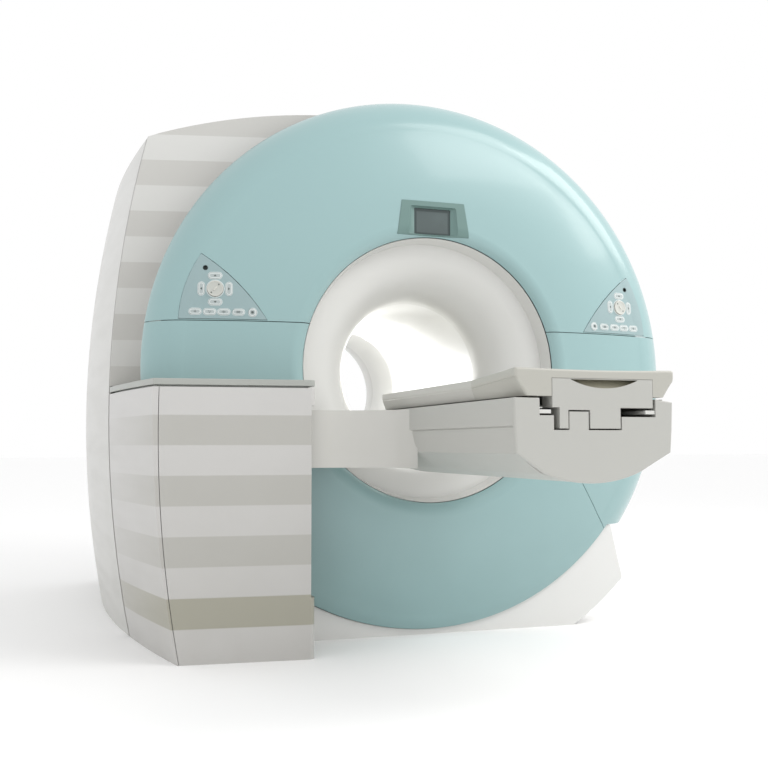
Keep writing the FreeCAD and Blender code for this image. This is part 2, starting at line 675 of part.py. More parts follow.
def magnet_cradle():
    """Four saddle blocks under the vessel, on a low frame of steel bars."""
    rows = (CRYO_START + SADDLE_INSET, CRYO_START + CRYO_LENGTH - SADDLE_INSET)
    cradle = box(-70, 70, rows[0], rows[1], -AXIS_Z, -AXIS_Z + 30)
    for depth in rows:
        cradle = cradle.fuse(box(-SADDLE_X, SADDLE_X, depth - 70, depth + 70, -AXIS_Z, -AXIS_Z + 30))
        for x in (-SADDLE_X, SADDLE_X):
            cradle = cradle.fuse(box(x - 120, x + 120, depth - 110, depth + 110, -AXIS_Z, -700))
    return largest(cradle.removeSplitter().cut(tube(CRYO_R + 0.5, 0, 0, REAR_DEPTH)))


def cold_head():
    """The refrigerator on the vessel's upper left: a stepped turret standing on its skin."""
    low = CRYO_R * 0.70
    body = None
    for radius, high in COLD_HEAD_STEPS:
        step = Part.makeCylinder(radius, high - low, place(COLD_HEAD_X, COLD_HEAD_DEPTH, low))
        body = step if body is None else body.fuse(step)
        low = high
    return largest(body.removeSplitter().cut(tube(CRYO_R + 0.5, 0, 0, REAR_DEPTH)))


# ---- lift gear inside the pedestal ----
def lift_parts():
    """Column with two rails, carriage, spindle and motor."""
    left, right = SPINDLE_X - COLUMN_HALF_WIDTH, SPINDLE_X + COLUMN_HALF_WIDTH
    rails = [SPINDLE_X + offset for offset in LIFT_RAIL_OFFSETS]
    column = box(left, right, COLUMN_FRONT, COLUMN_BACK, -AXIS_Z, COLUMN_TOP_LEVEL)
    for x in rails:
        column = column.fuse(box(x, x + LIFT_RAIL_WIDTH, LIFT_RAIL_FRONT, COLUMN_FRONT + 1,
                                 -AXIS_Z + 60, COLUMN_TOP_LEVEL - 20))
    column = column.fuse(box(left - 10, right + 10, -90, COLUMN_BACK + 1, -AXIS_Z, -AXIS_Z + COLUMN_FOOT))
    column = column.fuse(box(SPINDLE_X - 60, SPINDLE_X + 60, -80, COLUMN_FRONT + 1,
                             COLUMN_TOP_LEVEL - 30, COLUMN_TOP_LEVEL))
    bore = Part.makeCylinder(SPINDLE_R + 1.0, 60, place(SPINDLE_X, SPINDLE_DEPTH, COLUMN_TOP_LEVEL - 50))
    column = largest(column.removeSplitter().cut(bore))
    carriage = box(left - 5, right + 5, TABLE_HEAD_DEPTH - 16, LIFT_RAIL_FRONT - 2,
                   ARM_FOOT_LEVEL + 20, ARM_TOP_LEVEL)
    for x in rails:
        for edge in (x - 12, x + LIFT_RAIL_WIDTH + 2):
            carriage = carriage.fuse(box(edge, edge + 10, LIFT_RAIL_FRONT - 3, COLUMN_FRONT - 6,
                                         ARM_FOOT_LEVEL + 25, ARM_TOP_LEVEL - 5))
    bore = Part.makeCylinder(SPINDLE_R + 0.08, 500, place(SPINDLE_X, SPINDLE_DEPTH, ARM_FOOT_LEVEL - 100))
    carriage = largest(carriage.removeSplitter().cut(bore))
    spindle_foot = -AXIS_Z + 150
    spindle = Part.makeCylinder(SPINDLE_R, SPINDLE_TOP_LEVEL - spindle_foot,
                                place(SPINDLE_X, SPINDLE_DEPTH, spindle_foot))
    motor = box(SPINDLE_X - MOTOR_HALF, SPINDLE_X + MOTOR_HALF, SPINDLE_DEPTH - MOTOR_HALF,
                SPINDLE_DEPTH + MOTOR_HALF, -AXIS_Z + COLUMN_FOOT + 1, -AXIS_Z + MOTOR_TOP)
    motor = motor.fuse(Part.makeCylinder(35, 12, place(SPINDLE_X, SPINDLE_DEPTH, -AXIS_Z + MOTOR_TOP - 1)))
    return column, carriage, spindle, largest(motor.removeSplitter())


def arm_plan(inset):
    """The arm's plan outline: straight at the pedestal, then swept forward into the table's side."""
    back = TABLE_HEAD_DEPTH - inset
    front = ARM_FRONT_DEPTH + inset
    table_x = -TABLE_HALF_WIDTH + 4
    sweep_start = table_x - ARM_SWEEP_R
    start_x = PED_RIGHT_X - 40
    level = ARM_FOOT_LEVEL + inset
    lean = ARM_SWEEP_R * (1 - math.cos(math.pi / 4))
    a = place(start_x, front, level)
    b = place(sweep_start, front, level)
    c = place(table_x - lean - inset * 0.7, front - lean + inset * 0.7, level)
    d = place(table_x - inset, front - ARM_SWEEP_R, level)
    e = place(table_x - inset, back, level)
    f = place(start_x, back, level)
    bend = Vec(b.x + ARM_SWEEP_R * math.sin(math.pi / 4), b.y - lean, b.z)
    edges = [Part.makeLine(a, b), Part.Arc(b, bend, d).toShape(), Part.makeLine(d, e),
             Part.makeLine(e, f), Part.makeLine(f, a)]
    return Part.Face(Part.Wire(edges)).extrude(Vec(0, 0, ARM_TOP_LEVEL - ARM_FOOT_LEVEL - 2 * inset))


def arm_parts():
    """The swept cover, and the cantilever beam inside it."""
    front = ARM_FRONT_DEPTH + 16
    back = TABLE_HEAD_DEPTH - 16
    beam = box(-985, -214, front, back, ARM_FOOT_LEVEL + 22, ARM_TOP_LEVEL - 22)
    beam = beam.fuse(box(-215, -200, front, back, *FRAME_LEVELS)).removeSplitter()
    cover = arm_plan(0)
    table = table_outline(0, TABLE_END_DEPTH, TABLE_HEAD_DEPTH + 50, True)
    cover = cover.cut(table)
    cover = cover.cut(arm_plan(ARM_WALL))
    cover = cover.cut(box(-1200, 0, ARM_FRONT_DEPTH + 12, TABLE_HEAD_DEPTH - 12,
                          ARM_FOOT_LEVEL + 14, ARM_TOP_LEVEL - 14))
    return beam, largest(cover)


# ---- patient table ----
DECK = [(-162, TABLE_TOP_LEVEL), (-162, -219), (-119, -219), (-119, -259), (-72, -259), (-72, -208),
        (-12, -208), (-12, -259), (92, -259), (92, -222), (201, -222), (201, TABLE_TOP_LEVEL)]


def table_outline(inset, depth0, depth1, filled):
    """The table's body across: upright sides, chines and a slightly bowed bottom."""
    half = TABLE_HALF_WIDTH - inset
    wide = half + 4
    foot_x, foot_l = TABLE_SIDE_FOOT[0] - inset, TABLE_SIDE_FOOT[1] + inset * 0.3
    chine_x, chine_l = TABLE_CHINE[0] - inset * 0.7, TABLE_CHINE[1] + inset
    top = TABLE_TOP_LEVEL + (200 if inset else 0)
    left = [(-wide, top), (-wide, TABLE_SEAM_LEVEL + 3), (-half, TABLE_SEAM_LEVEL), (-foot_x, foot_l),
            (-chine_x, chine_l)]
    right = [(-x, level) for x, level in left[::-1]]
    spots = [place(x, depth0, level) for x, level in left]
    edges = [Part.makeLine(p, q) for p, q in zip(spots, spots[1:])]
    keel = place(0, depth0, TABLE_KEEL_LEVEL + inset)
    spots_right = [place(x, depth0, level) for x, level in right]
    edges.append(Part.Arc(spots[-1], keel, spots_right[0]).toShape())
    edges += [Part.makeLine(p, q) for p, q in zip(spots_right, spots_right[1:])]
    edges.append(Part.makeLine(spots_right[-1], spots[0]))
    return run_edges(edges, depth1 - depth0)


def deck_space(drop, depth0, depth1, top=300.0):
    """The stepped space above the deck, in which the couch's keels run."""
    points = [(-162 - drop, top)]
    for x, level in DECK:
        points.append((x, level))
    points.append((201 + drop, top))
    lowered = []
    for x, level in points:
        lowered.append((x, level - drop if level < TABLE_TOP_LEVEL else level))
    return prism(lowered, depth0, depth1)


def table_parts():
    """Side shell, end cover, deck, inner frame and guide rails."""
    start = TABLE_END_DEPTH + TABLE_END_COVER + SEAM
    shell = table_outline(0, start, TABLE_HEAD_DEPTH, True)
    shell = shell.cut(table_outline(TABLE_SKIN, start - 5, TABLE_HEAD_DEPTH - TABLE_SKIN, False))
    low = DECK_FOOT_LEVEL - 1
    deck_bay = prism([(DECK_LEFT - 1, 0), (DECK_LEFT - 1, low), (DECK_RIGHT + 1, low), (DECK_RIGHT + 1, 0)],
                     start - 5, TABLE_HEAD_DEPTH + 5)
    shell = shell.cut(deck_bay)
    window = box(-TABLE_HALF_WIDTH - 20, -180, ARM_FRONT_DEPTH + 12, TABLE_HEAD_DEPTH - 12,
                 ARM_FOOT_LEVEL + 14, ARM_TOP_LEVEL - 14)
    shell = largest(shell.cut(window))
    deck = box(DECK_LEFT, DECK_RIGHT, start, TABLE_HEAD_DEPTH, DECK_FOOT_LEVEL, TABLE_TOP_LEVEL)
    deck = deck.cut(deck_space(0, start - 5, TABLE_HEAD_DEPTH + 5))
    under = [(-190, -300), (-190, -226), (-126, -226), (-126, -266), (-65, -266), (-65, -215), (-19, -215),
             (-19, -266), (99, -266), (99, -229), (195, -229), (195, -300)]
    deck = largest(deck.cut(prism(under, start - 5, TABLE_HEAD_DEPTH - 8)))
    left, right = TABLE_END_LEFT, TABLE_END_RIGHT
    outline = [(left, TABLE_TOP_LEVEL), (left + 2, -258), (left + 6, -322), (-190, -350), (-149, -378),
               (0, -407), (149, -378), (198, -350), (right - 8, -322), (right - 3, -258),
               (right, TABLE_TOP_LEVEL - 8), (201, TABLE_TOP_LEVEL)]
    end_start = TABLE_END_DEPTH
    end_stop = TABLE_END_DEPTH + TABLE_END_COVER
    end = rounded_end(outline, end_start, end_stop)
    end = end.cut(deck_space(0, end_start - 5, end_stop + 5))
    hollow = [(left + 12, -290), (-182, -340), (-146, -368), (0, -396), (146, -368), (190, -342),
              (right - 14, -290)]
    end = largest(end.cut(prism(hollow, end_start + 9, end_stop + 5)))
    frame = box(-200, -160, start + 20, TABLE_HEAD_DEPTH - 20, *FRAME_LEVELS)
    frame = frame.fuse(box(160, 200, start + 20, TABLE_HEAD_DEPTH - 20, *FRAME_LEVELS))
    for depth in (start + 20, -700.0, -330.0):
        frame = frame.fuse(box(-180, 180, depth, depth + 50, -325, -290))
    frame = largest(frame.removeSplitter())
    rails = Part.makeCompound([
        box(-161.5, -126, TABLE_END_DEPTH + 3, TABLE_HEAD_DEPTH - 4, *RAIL_LEVELS),
        box(170, 200.5, TABLE_END_DEPTH + 3, TABLE_HEAD_DEPTH - 4, *RAIL_LEVELS)])
    return shell, end, deck, frame, rails


def rounded_end(outline, depth0, depth1):
    """The end cover's block, with a soft edge round its outer face."""
    inner = [(x * 0.985, -270 + (level + 270) * 0.975) for x, level in outline]
    face = Part.makeLoft([polygon_wire(inner, depth0), polygon_wire(outline, depth0 + 5)], True, True)
    return face.fuse(prism(outline, depth0 + 5, depth1)).removeSplitter()


def couch_section(half, edge, trough, foot_half, foot, depth, draw_in=0.0):
    """One cross-section of the couch top, with its hollow upper face; draw_in brings its left side inwards."""
    rim = half - 26
    bed = arc_points((rim, edge), (0, edge - trough), (-rim, edge), 6)
    outline = [(half, edge - 24), (half, edge)] + bed + [(-half, edge), (-half, edge - 24)]
    outline += [(-foot_half, foot), (foot_half, foot)]
    return polygon_wire([(x + draw_in if x < -1 else x, level) for x, level in outline], depth)


CAP_LEFT = -124.0
CAP_RIGHT = 192.0
CAP_DEPTH = 60.0
TEETH = [(CAP_LEFT, -197), (-102, -197), (-102, -255), (-75, -255), (-75, -204), (-8, -204),
         (-8, -255), (88, -255), (88, -197), (CAP_RIGHT, -197)]


def couch_parts():
    """The couch top, its winged foot end, and the middle end piece with teeth and a grip."""
    wing_start = TABLE_END_DEPTH + WING_LENGTH
    edge = COUCH_EDGE_LEVEL
    foot = COUCH_FOOT_LEVEL
    near = couch_section(COUCH_HALF_WIDTH, edge, COUCH_TROUGH, COUCH_HALF_WIDTH - 14, foot, wing_start)
    top = Part.Face(near).extrude(Vec(0, TABLE_HEAD_DEPTH - wing_start, 0))
    gap = couch_section(COUCH_HALF_WIDTH, edge, COUCH_TROUGH, COUCH_HALF_WIDTH - 14, foot, wing_start - 1)
    mid_half = COUCH_HALF_WIDTH + 15
    mid = couch_section(mid_half, edge + 8, 17, COUCH_HALF_WIDTH, foot, wing_start - 160,
                        0.4 * WING_DRAW_IN)
    far = couch_section(WING_HALF_WIDTH, edge + 17, 3, 230, foot, TABLE_END_DEPTH, WING_DRAW_IN)
    wings = Part.makeLoft([gap, mid, far], True, False)
    keel = [(CAP_LEFT, -120)] + TEETH + [(CAP_RIGHT, -120)]
    cap = prism(keel, TABLE_END_DEPTH - 1, TABLE_END_DEPTH + CAP_DEPTH)
    seat = prism([(CAP_LEFT - 1, -116), (CAP_LEFT - 1, -300), (CAP_RIGHT + 1, -300), (CAP_RIGHT + 1, -116)],
                 TABLE_END_DEPTH - 20, TABLE_END_DEPTH + CAP_DEPTH + 1)
    wings = largest(wings.cut(seat))
    cap = cap.fuse(prism([(CAP_LEFT, -119), (CAP_LEFT, -117), (CAP_RIGHT, -117), (CAP_RIGHT, -119)],
                         TABLE_END_DEPTH - 1, TABLE_END_DEPTH + CAP_DEPTH))
    grip_r = 250.0
    grip = Part.makeCylinder(grip_r, 34, place(38, TABLE_END_DEPTH - 4, -143 + grip_r), Vec(0, 1, 0))
    cap = largest(cap.removeSplitter().cut(grip.common(
        box(-200, 300, TABLE_END_DEPTH - 10, TABLE_END_DEPTH + 34, -200, -119))))
    return top, wings, cap


def bore_bridge():
    """The bed inside the bore that the couch slides onto."""
    top = COUCH_FOOT_LEVEL - RUN_CLEARANCE - 3
    start = THROAT_DEPTH - 4
    stop = REAR_DEPTH - REAR_THROAT_DEPTH + 60
    slab = box(-232, 232, start, stop, top - 14, top)
    for x in (-150.0, 130.0):
        slab = slab.fuse(box(x, x + 20, start + 10, stop - 10, top - 50, top - 13))
    for depth in (THROAT_DEPTH + 60, (THROAT_DEPTH + stop) / 2, stop - 110):
        slab = slab.fuse(box(-200, 200, depth, depth + 30, -BORE_R, top - 13))
    return largest(slab.removeSplitter().common(tube(BORE_R - 0.4, 0, start, stop)))


def travel_drive():
    """The closed gear unit that drives the couch, hung under the deck."""
    unit = box(-50, 60, -640, -480, -350, -275)
    upright = [edge for edge in unit.Edges if abs(edge.tangentAt(edge.FirstParameter).y) > 0.9]
    unit = unit.makeFillet(8, upright)
    return unit.fuse(Part.makeCylinder(22, 90, place(0, -480.5, -318), Vec(0, 1, 0))).removeSplitter()


def main():
    upper, right, left, lower = ring_covers()
    upper, tray, screen = display_parts(upper)
    upper, pieces = panel_parts(upper)
    for name, shape in pieces.items():
        save(name, shape)
    save("ring_cover_upper", upper)
    save("ring_cover_right", largest(right))
    save("ring_cover_left", largest(left))
    save("ring_cover_lower", largest(lower))
    save("display_frame", tray)
    save("display_screen", screen)
    save("funnel_front", front_funnel())
    vessel, coil, liner = coil_parts()
    save("cryostat", vessel)
    save("gradient_coil", coil)
    save("bore_liner", liner)
    front, side, roof = tower_parts()
    save("tower_front_cover", front)
    save("tower_side_cover", side)
    save("roof_cover", roof)
    save("drum_cover", drum_cover())
    plate, funnel = rear_parts()
    save("rear_cover", plate)
    save("funnel_rear", funnel)
    cover, cap = pedestal_parts()
    save("pedestal_cover", cover)
    save("pedestal_cap", cap)
    save("slot_seal", slot_seal())
    save("base_plinth", plinth())
    save("magnet_cradle", magnet_cradle())
    save("cold_head", cold_head())
    column, carriage, spindle, motor = lift_parts()
    save("lift_column", column)
    save("lift_carriage", carriage)
    save("lift_spindle", spindle)
    save("lift_motor", motor)
    beam, arm_cover = arm_parts()
    save("support_arm", beam)
    save("arm_cover", arm_cover)
    shell, end, deck, frame, rails = table_parts()
    save("table_shell", shell)
    save("table_end_cover", end)
    save("table_deck", deck)
    save("table_frame", frame)
    save("guide_rails", rails)
    save("travel_drive", travel_drive())
    top, wings, cap_end = couch_parts()
    save("couch_top", top)
    save("couch_foot_wings", wings)
    save("couch_end_piece", cap_end)
    save("bore_bridge", bore_bridge())


main()
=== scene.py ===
"""Whole-body magnetic resonance scanner: the shapes, finishes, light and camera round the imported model."""

import logging
import math
from dataclasses import dataclass, field
from enum import Enum
from typing import Callable, Optional, Sequence

import bmesh
import bpy
from bmesh.types import BMEdge, BMFace, BMVert
from bpy.types import Material, Node, NodeOutputs, NodeSocket, ShaderNodeTree
from mathutils import Matrix, Vector


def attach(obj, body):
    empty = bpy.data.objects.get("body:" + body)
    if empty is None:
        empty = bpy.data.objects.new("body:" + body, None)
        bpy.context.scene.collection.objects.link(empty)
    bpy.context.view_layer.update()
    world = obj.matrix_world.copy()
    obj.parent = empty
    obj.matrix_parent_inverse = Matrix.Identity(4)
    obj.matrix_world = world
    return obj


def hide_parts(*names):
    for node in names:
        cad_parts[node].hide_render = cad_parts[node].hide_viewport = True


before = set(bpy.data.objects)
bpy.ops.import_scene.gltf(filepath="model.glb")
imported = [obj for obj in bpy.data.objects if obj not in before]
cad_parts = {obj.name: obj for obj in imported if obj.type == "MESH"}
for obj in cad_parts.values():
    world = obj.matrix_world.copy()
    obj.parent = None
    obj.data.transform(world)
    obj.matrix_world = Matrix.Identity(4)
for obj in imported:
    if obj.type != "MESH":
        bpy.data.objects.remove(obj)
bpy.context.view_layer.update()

LOG = logging.getLogger("scanner")
AXIS_Z = 1.045
MOUTH_Y = -1.045
FLOOR = -1045.0
MM = 0.001
FULL_TURN = 2 * math.pi
SPIN_STEPS = 240
ACROSS, INWARD, UPWARD = Vector((1, 0, 0)), Vector((0, 1, 0)), Vector((0, 0, 1))
Spot = tuple[float, float]
Spot3 = tuple[float, float, float]
Colour = tuple[int, int, int]


def place(x: float, depth: float, level: float) -> Vector:
    """A point in metres, from millimetres across, behind the mouth and above the bore axis."""
    return Vector((x * MM, MOUTH_Y + depth * MM, AXIS_Z + level * MM))


def across(point: Vector) -> float:
    """How far right of the bore axis a point is, in millimetres."""
    return point.x / MM


def depth_of(point: Vector) -> float:
    """How far behind the mouth a point is, in millimetres."""
    return (point.y - MOUTH_Y) / MM


def level_of(point: Vector) -> float:
    """How far above the bore axis a point is, in millimetres."""
    return (point.z - AXIS_Z) / MM


def lerp(start: float, end: float, share: float) -> float:
    """The value a share of the way from start to end."""
    return start + (end - start) * share


def between(first: Spot, second: Spot, share: float) -> Spot:
    """The point a share of the way from one point to another."""
    return lerp(first[0], second[0], share), lerp(first[1], second[1], share)


def spread(start: float, end: float, steps: int) -> list[float]:
    """Evenly spaced values from start to end, both among them."""
    return [lerp(start, end, step / steps) for step in range(steps + 1)]


def polar(radius: float, turn: float, centre: Spot = (0.0, 0.0)) -> Spot:
    """The point of a circle at an angle."""
    return centre[0] + radius * math.cos(turn), centre[1] + radius * math.sin(turn)


def sweep(radius: float, start: float, end: float, steps: int, centre: Spot = (0.0, 0.0)) -> list[Spot]:
    """Evenly turned points of a circle between two angles, both ends among them."""
    return [polar(radius, turn, centre) for turn in spread(start, end, steps)]


def turned(outline: Sequence[Spot], turn: float) -> list[Spot]:
    """An outline turned about its origin."""
    cos, sin = math.cos(turn), math.sin(turn)
    return [(x * cos - y * sin, x * sin + y * cos) for x, y in outline]


def upright(outline: Sequence[Spot], depth: float) -> list[Vector]:
    """The points of an outline that is given across and up, at one depth."""
    return [place(x, depth, level) for x, level in outline]


def lying(line: Sequence[Spot], level: float) -> list[Vector]:
    """The points of a line that is given across and behind, at one level."""
    return [place(x, depth, level) for x, depth in line]


def linear(colour: Colour) -> tuple[float, float, float, float]:
    """A screen colour of 0 to 255 as the linear colour that a shader takes."""
    parts = [value / 255 for value in colour]
    red, green, blue = [v / 12.92 if v <= 0.04045 else ((v + 0.055) / 1.055) ** 2.4 for v in parts]
    return red, green, blue, 1.0


class Side(Enum):
    """The two sides of the scanner, as the patient's end shows them."""

    LEFT = -1
    RIGHT = 1


@dataclass(frozen=True)
class Arc:
    """A circular arc through three points of a section, in millimetres."""

    first: Spot
    middle: Spot
    last: Spot

    def circle(self) -> tuple[float, float, float]:
        """The circle through the three points: its centre's two coordinates and its radius."""
        (x0, y0), (x1, y1), (x2, y2) = self.first, self.middle, self.last
        twice = 2 * (x0 * (y1 - y2) + x1 * (y2 - y0) + x2 * (y0 - y1))
        s0, s1, s2 = x0 * x0 + y0 * y0, x1 * x1 + y1 * y1, x2 * x2 + y2 * y2
        cx = (s0 * (y1 - y2) + s1 * (y2 - y0) + s2 * (y0 - y1)) / twice
        cy = (s0 * (x2 - x1) + s1 * (x0 - x2) + s2 * (x1 - x0)) / twice
        return cx, cy, math.hypot(x0 - cx, y0 - cy)

    def points(self, steps: int) -> list[Spot]:
        """Evenly turned points along the arc, both ends among them."""
        cx, cy, radius = self.circle()
        start = math.atan2(self.first[1] - cy, self.first[0] - cx)
        turn = math.atan2(self.last[1] - cy, self.last[0] - cx) - start
        turn = (turn + math.pi) % FULL_TURN - math.pi
        return sweep(radius, start, start + turn, steps, (cx, cy))

    def low_side(self, run: float) -> float:
        """The second coordinate of the arc's lower side at a first coordinate."""
        cx, cy, radius = self.circle()
        return cy - math.sqrt(radius * radius - (run - cx) ** 2)


# ---------------------------------------------------------------- finishes


class Grain(Enum):
    """How a surface is uneven: cells per metre of its slow waves and of its fine grain."""

    SPRAYED = (7.0, 380.0)
    MOULDED = (12.0, 900.0)
    CAST = (40.0, 520.0)
    POLISHED = (16.0, 240.0)


def put(tree: ShaderNodeTree, value: float | NodeSocket | tuple, socket: NodeSocket) -> None:
    """Links a socket, or sets its number or colour."""
    if isinstance(value, NodeSocket):
        tree.links.new(value, socket)
    else:
        socket.default_value = value


def add_noise(tree: ShaderNodeTree, scale: NodeSocket | float, detail: float, vector: NodeSocket) -> NodeSocket:
    """Adds a noise field and gives its value."""
    noise = tree.nodes.new("ShaderNodeTexNoise")
    for name, value in (("Vector", vector), ("Scale", scale), ("Detail", detail)):
        put(tree, value, noise.inputs[name])
    return noise.outputs["Fac"]


def add_math(tree: ShaderNodeTree, operation: str, *values: NodeSocket | float) -> NodeSocket:
    """Adds a math node on sockets or numbers and gives its value."""
    made = tree.nodes.new("ShaderNodeMath")
    made.operation = operation
    for socket, value in zip(made.inputs, values):
        put(tree, value, socket)
    return made.outputs[0]


def add_axis(tree: ShaderNodeTree, spot: NodeSocket, axis: str) -> NodeSocket:
    """Gives one coordinate of a place."""
    split = tree.nodes.new("ShaderNodeSeparateXYZ")
    tree.links.new(spot, split.inputs["Vector"])
    return split.outputs[axis]


def add_range(tree: ShaderNodeTree, value: NodeSocket, start: float = 0.0, end: float = 1.0, low: float = 0.0,
              high: float = 1.0, smooth: bool = False) -> NodeSocket:
    """Spreads a value that goes from start to end over a range of low to high, and holds it there.

    Args:
        tree: The tree that it is added to.
        value: The value.
        start: Where the value gives low.
        end: Where the value gives high.
        low: The range's one end.
        high: The range's other end.
        smooth: Whether it eases in and out.

    Returns:
        The spread value.
    """
    node = tree.nodes.new("ShaderNodeMapRange")
    tree.links.new(value, node.inputs["Value"])
    for name, number in (("From Min", start), ("From Max", end), ("To Min", low), ("To Max", high)):
        node.inputs[name].default_value = number
    if smooth:
        node.interpolation_type = "SMOOTHSTEP"
    return node.outputs["Result"]


class ShaderKit:
    """The node groups that the finishes share, each built once."""

    def __init__(self) -> None:
        """Builds every group."""
        self.drift = self._drift()
        self.grain = self._grain()
        self.wipes = self._wipes()
        self.dust_and_shade = self._dust_and_shade()
        self.bands = self._bands()
        self.rub = self._rub()

    @staticmethod
    def _tree(name: str, output: str = "Mask", kind: str = "Float",
              **inputs: Optional[float]) -> tuple[ShaderNodeTree, NodeOutputs]:
        """Starts a group with named sockets, the place on the object first of them.

        Args:
            name: The group's name.
            output: The output's name.
            kind: The output's socket kind.
            inputs: The default of each further input, or None for a colour; an underscore stands for a space.

        Returns:
            The group, and the sockets that give its inputs.
        """
        tree = bpy.data.node_groups.new(name, "ShaderNodeTree")
        tree.interface.new_socket(name="Place", in_out="INPUT", socket_type="NodeSocketVector")
        for label, default in inputs.items():
            socket = tree.interface.new_socket(name=label.replace("_", " "), in_out="INPUT",
                                               socket_type="NodeSocket" + ("Color" if default is None else "Float"))
            if default is not None:
                socket.default_value = default
        tree.interface.new_socket(name=output, in_out="OUTPUT", socket_type="NodeSocket" + kind)
        tree.nodes.new("NodeGroupOutput").name = "out"
        return tree, tree.nodes.new("NodeGroupInput").outputs

    @staticmethod
    def _closed(tree: ShaderNodeTree, value: NodeSocket) -> ShaderNodeTree:
        """Gives a value out of a group."""
        tree.links.new(value, tree.nodes["out"].inputs[0])
        return tree

    def _drift(self) -> ShaderNodeTree:
        """A colour that drifts a little over the surface, in slow clouds."""
        tree, start = self._tree("colour drift", "Color", "Color", Color=None, Scale=2.0, Amount=0.03)
        cloud = add_noise(tree, start["Scale"], 3.0, start["Place"])
        swing = add_math(tree, "MULTIPLY", add_math(tree, "SUBTRACT", cloud, 0.5), start["Amount"])
        shade = tree.nodes.new("ShaderNodeHueSaturation")
        put(tree, add_math(tree, "MULTIPLY_ADD", swing, 4.0, 1.0), shade.inputs["Value"])
        put(tree, start["Color"], shade.inputs["Color"])
        return self._closed(tree, shade.outputs["Color"])

    def _grain(self) -> ShaderNodeTree:
        """The height of slow waves with fine grain on them."""
        tree, start = self._tree("surface grain", "Height", Waves=8.0, Cells=400.0, Fine_Share=0.25)
        slow = add_noise(tree, start["Waves"], 1.0, start["Place"])
        fine = add_noise(tree, start["Cells"], 2.0, start["Place"])
        return self._closed(tree, add_math(tree, "MULTIPLY_ADD", fine, start["Fine Share"], slow))

    def _wipes(self) -> ShaderNodeTree:
        """A mask of faint level streaks, as wiping down leaves them."""
        tree, start = self._tree("wipe marks", Scale=9.0)
        stretch = tree.nodes.new("ShaderNodeMapping")
        stretch.inputs["Scale"].default_value = (0.35, 0.35, 2.2)
        stretch.inputs["Rotation"].default_value = (0.12, 0.35, 0.2)
        put(tree, start["Place"], stretch.inputs["Vector"])
        streaks = add_noise(tree, start["Scale"], 6.0, stretch.outputs["Vector"])
        return self._closed(tree, add_range(tree, streaks, 0.42, 0.7325))

    def _dust_and_shade(self) -> ShaderNodeTree:
        """A mask that grows towards the floor, broken up by clouds: real dust on some finishes, painted shade on
        others.
        """
        tree, start = self._tree("floor dust and painted shade", Reach=0.35)
        share = add_math(tree, "DIVIDE", add_axis(tree, start["Place"], "Z"), start["Reach"])
        clouds = add_math(tree, "MULTIPLY_ADD", add_noise(tree, 6.0, 4.0, start["Place"]), 0.4, 0.3)
        near = add_math(tree, "MULTIPLY", add_math(tree, "SUBTRACT", 1.0, share), clouds)
        return self._closed(tree, add_range(tree, near))

    def _bands(self) -> ShaderNodeTree:
        """A mask of level bands: one at the top height and the others a pitch apart, half a pitch high."""
        tree, start = self._tree("level bands", Top=0.85, Pitch=0.2, Blur=60.0)
        drop = add_math(tree, "SUBTRACT", start["Top"], add_axis(tree, start["Place"], "Z"))
        turns = add_math(tree, "DIVIDE", drop, start["Pitch"])
        folded = add_math(tree, "PINGPONG", add_math(tree, "ADD", turns, 7.75), 0.5)
        edge = add_math(tree, "SUBTRACT", 0.25, folded)
        return self._closed(tree, add_range(tree, add_math(tree, "MULTIPLY_ADD", edge, start["Blur"], 0.5)))

    def _rub(self) -> ShaderNodeTree:
        """A mask of rubbed edges, from the edge attribute of a piece, broken up by clouds."""
        tree, start = self._tree("rubbed edges", Scale=30.0)
        rim = tree.nodes.new("ShaderNodeAttribute")
        rim.attribute_name = "edge"
        clouds = add_noise(tree, start["Scale"], 5.0, start["Place"])
        broken = add_range(tree, clouds, 0.35, 0.35 + 1 / 3)
        return self._closed(tree, add_math(tree, "MULTIPLY", broken, rim.outputs["Fac"]))


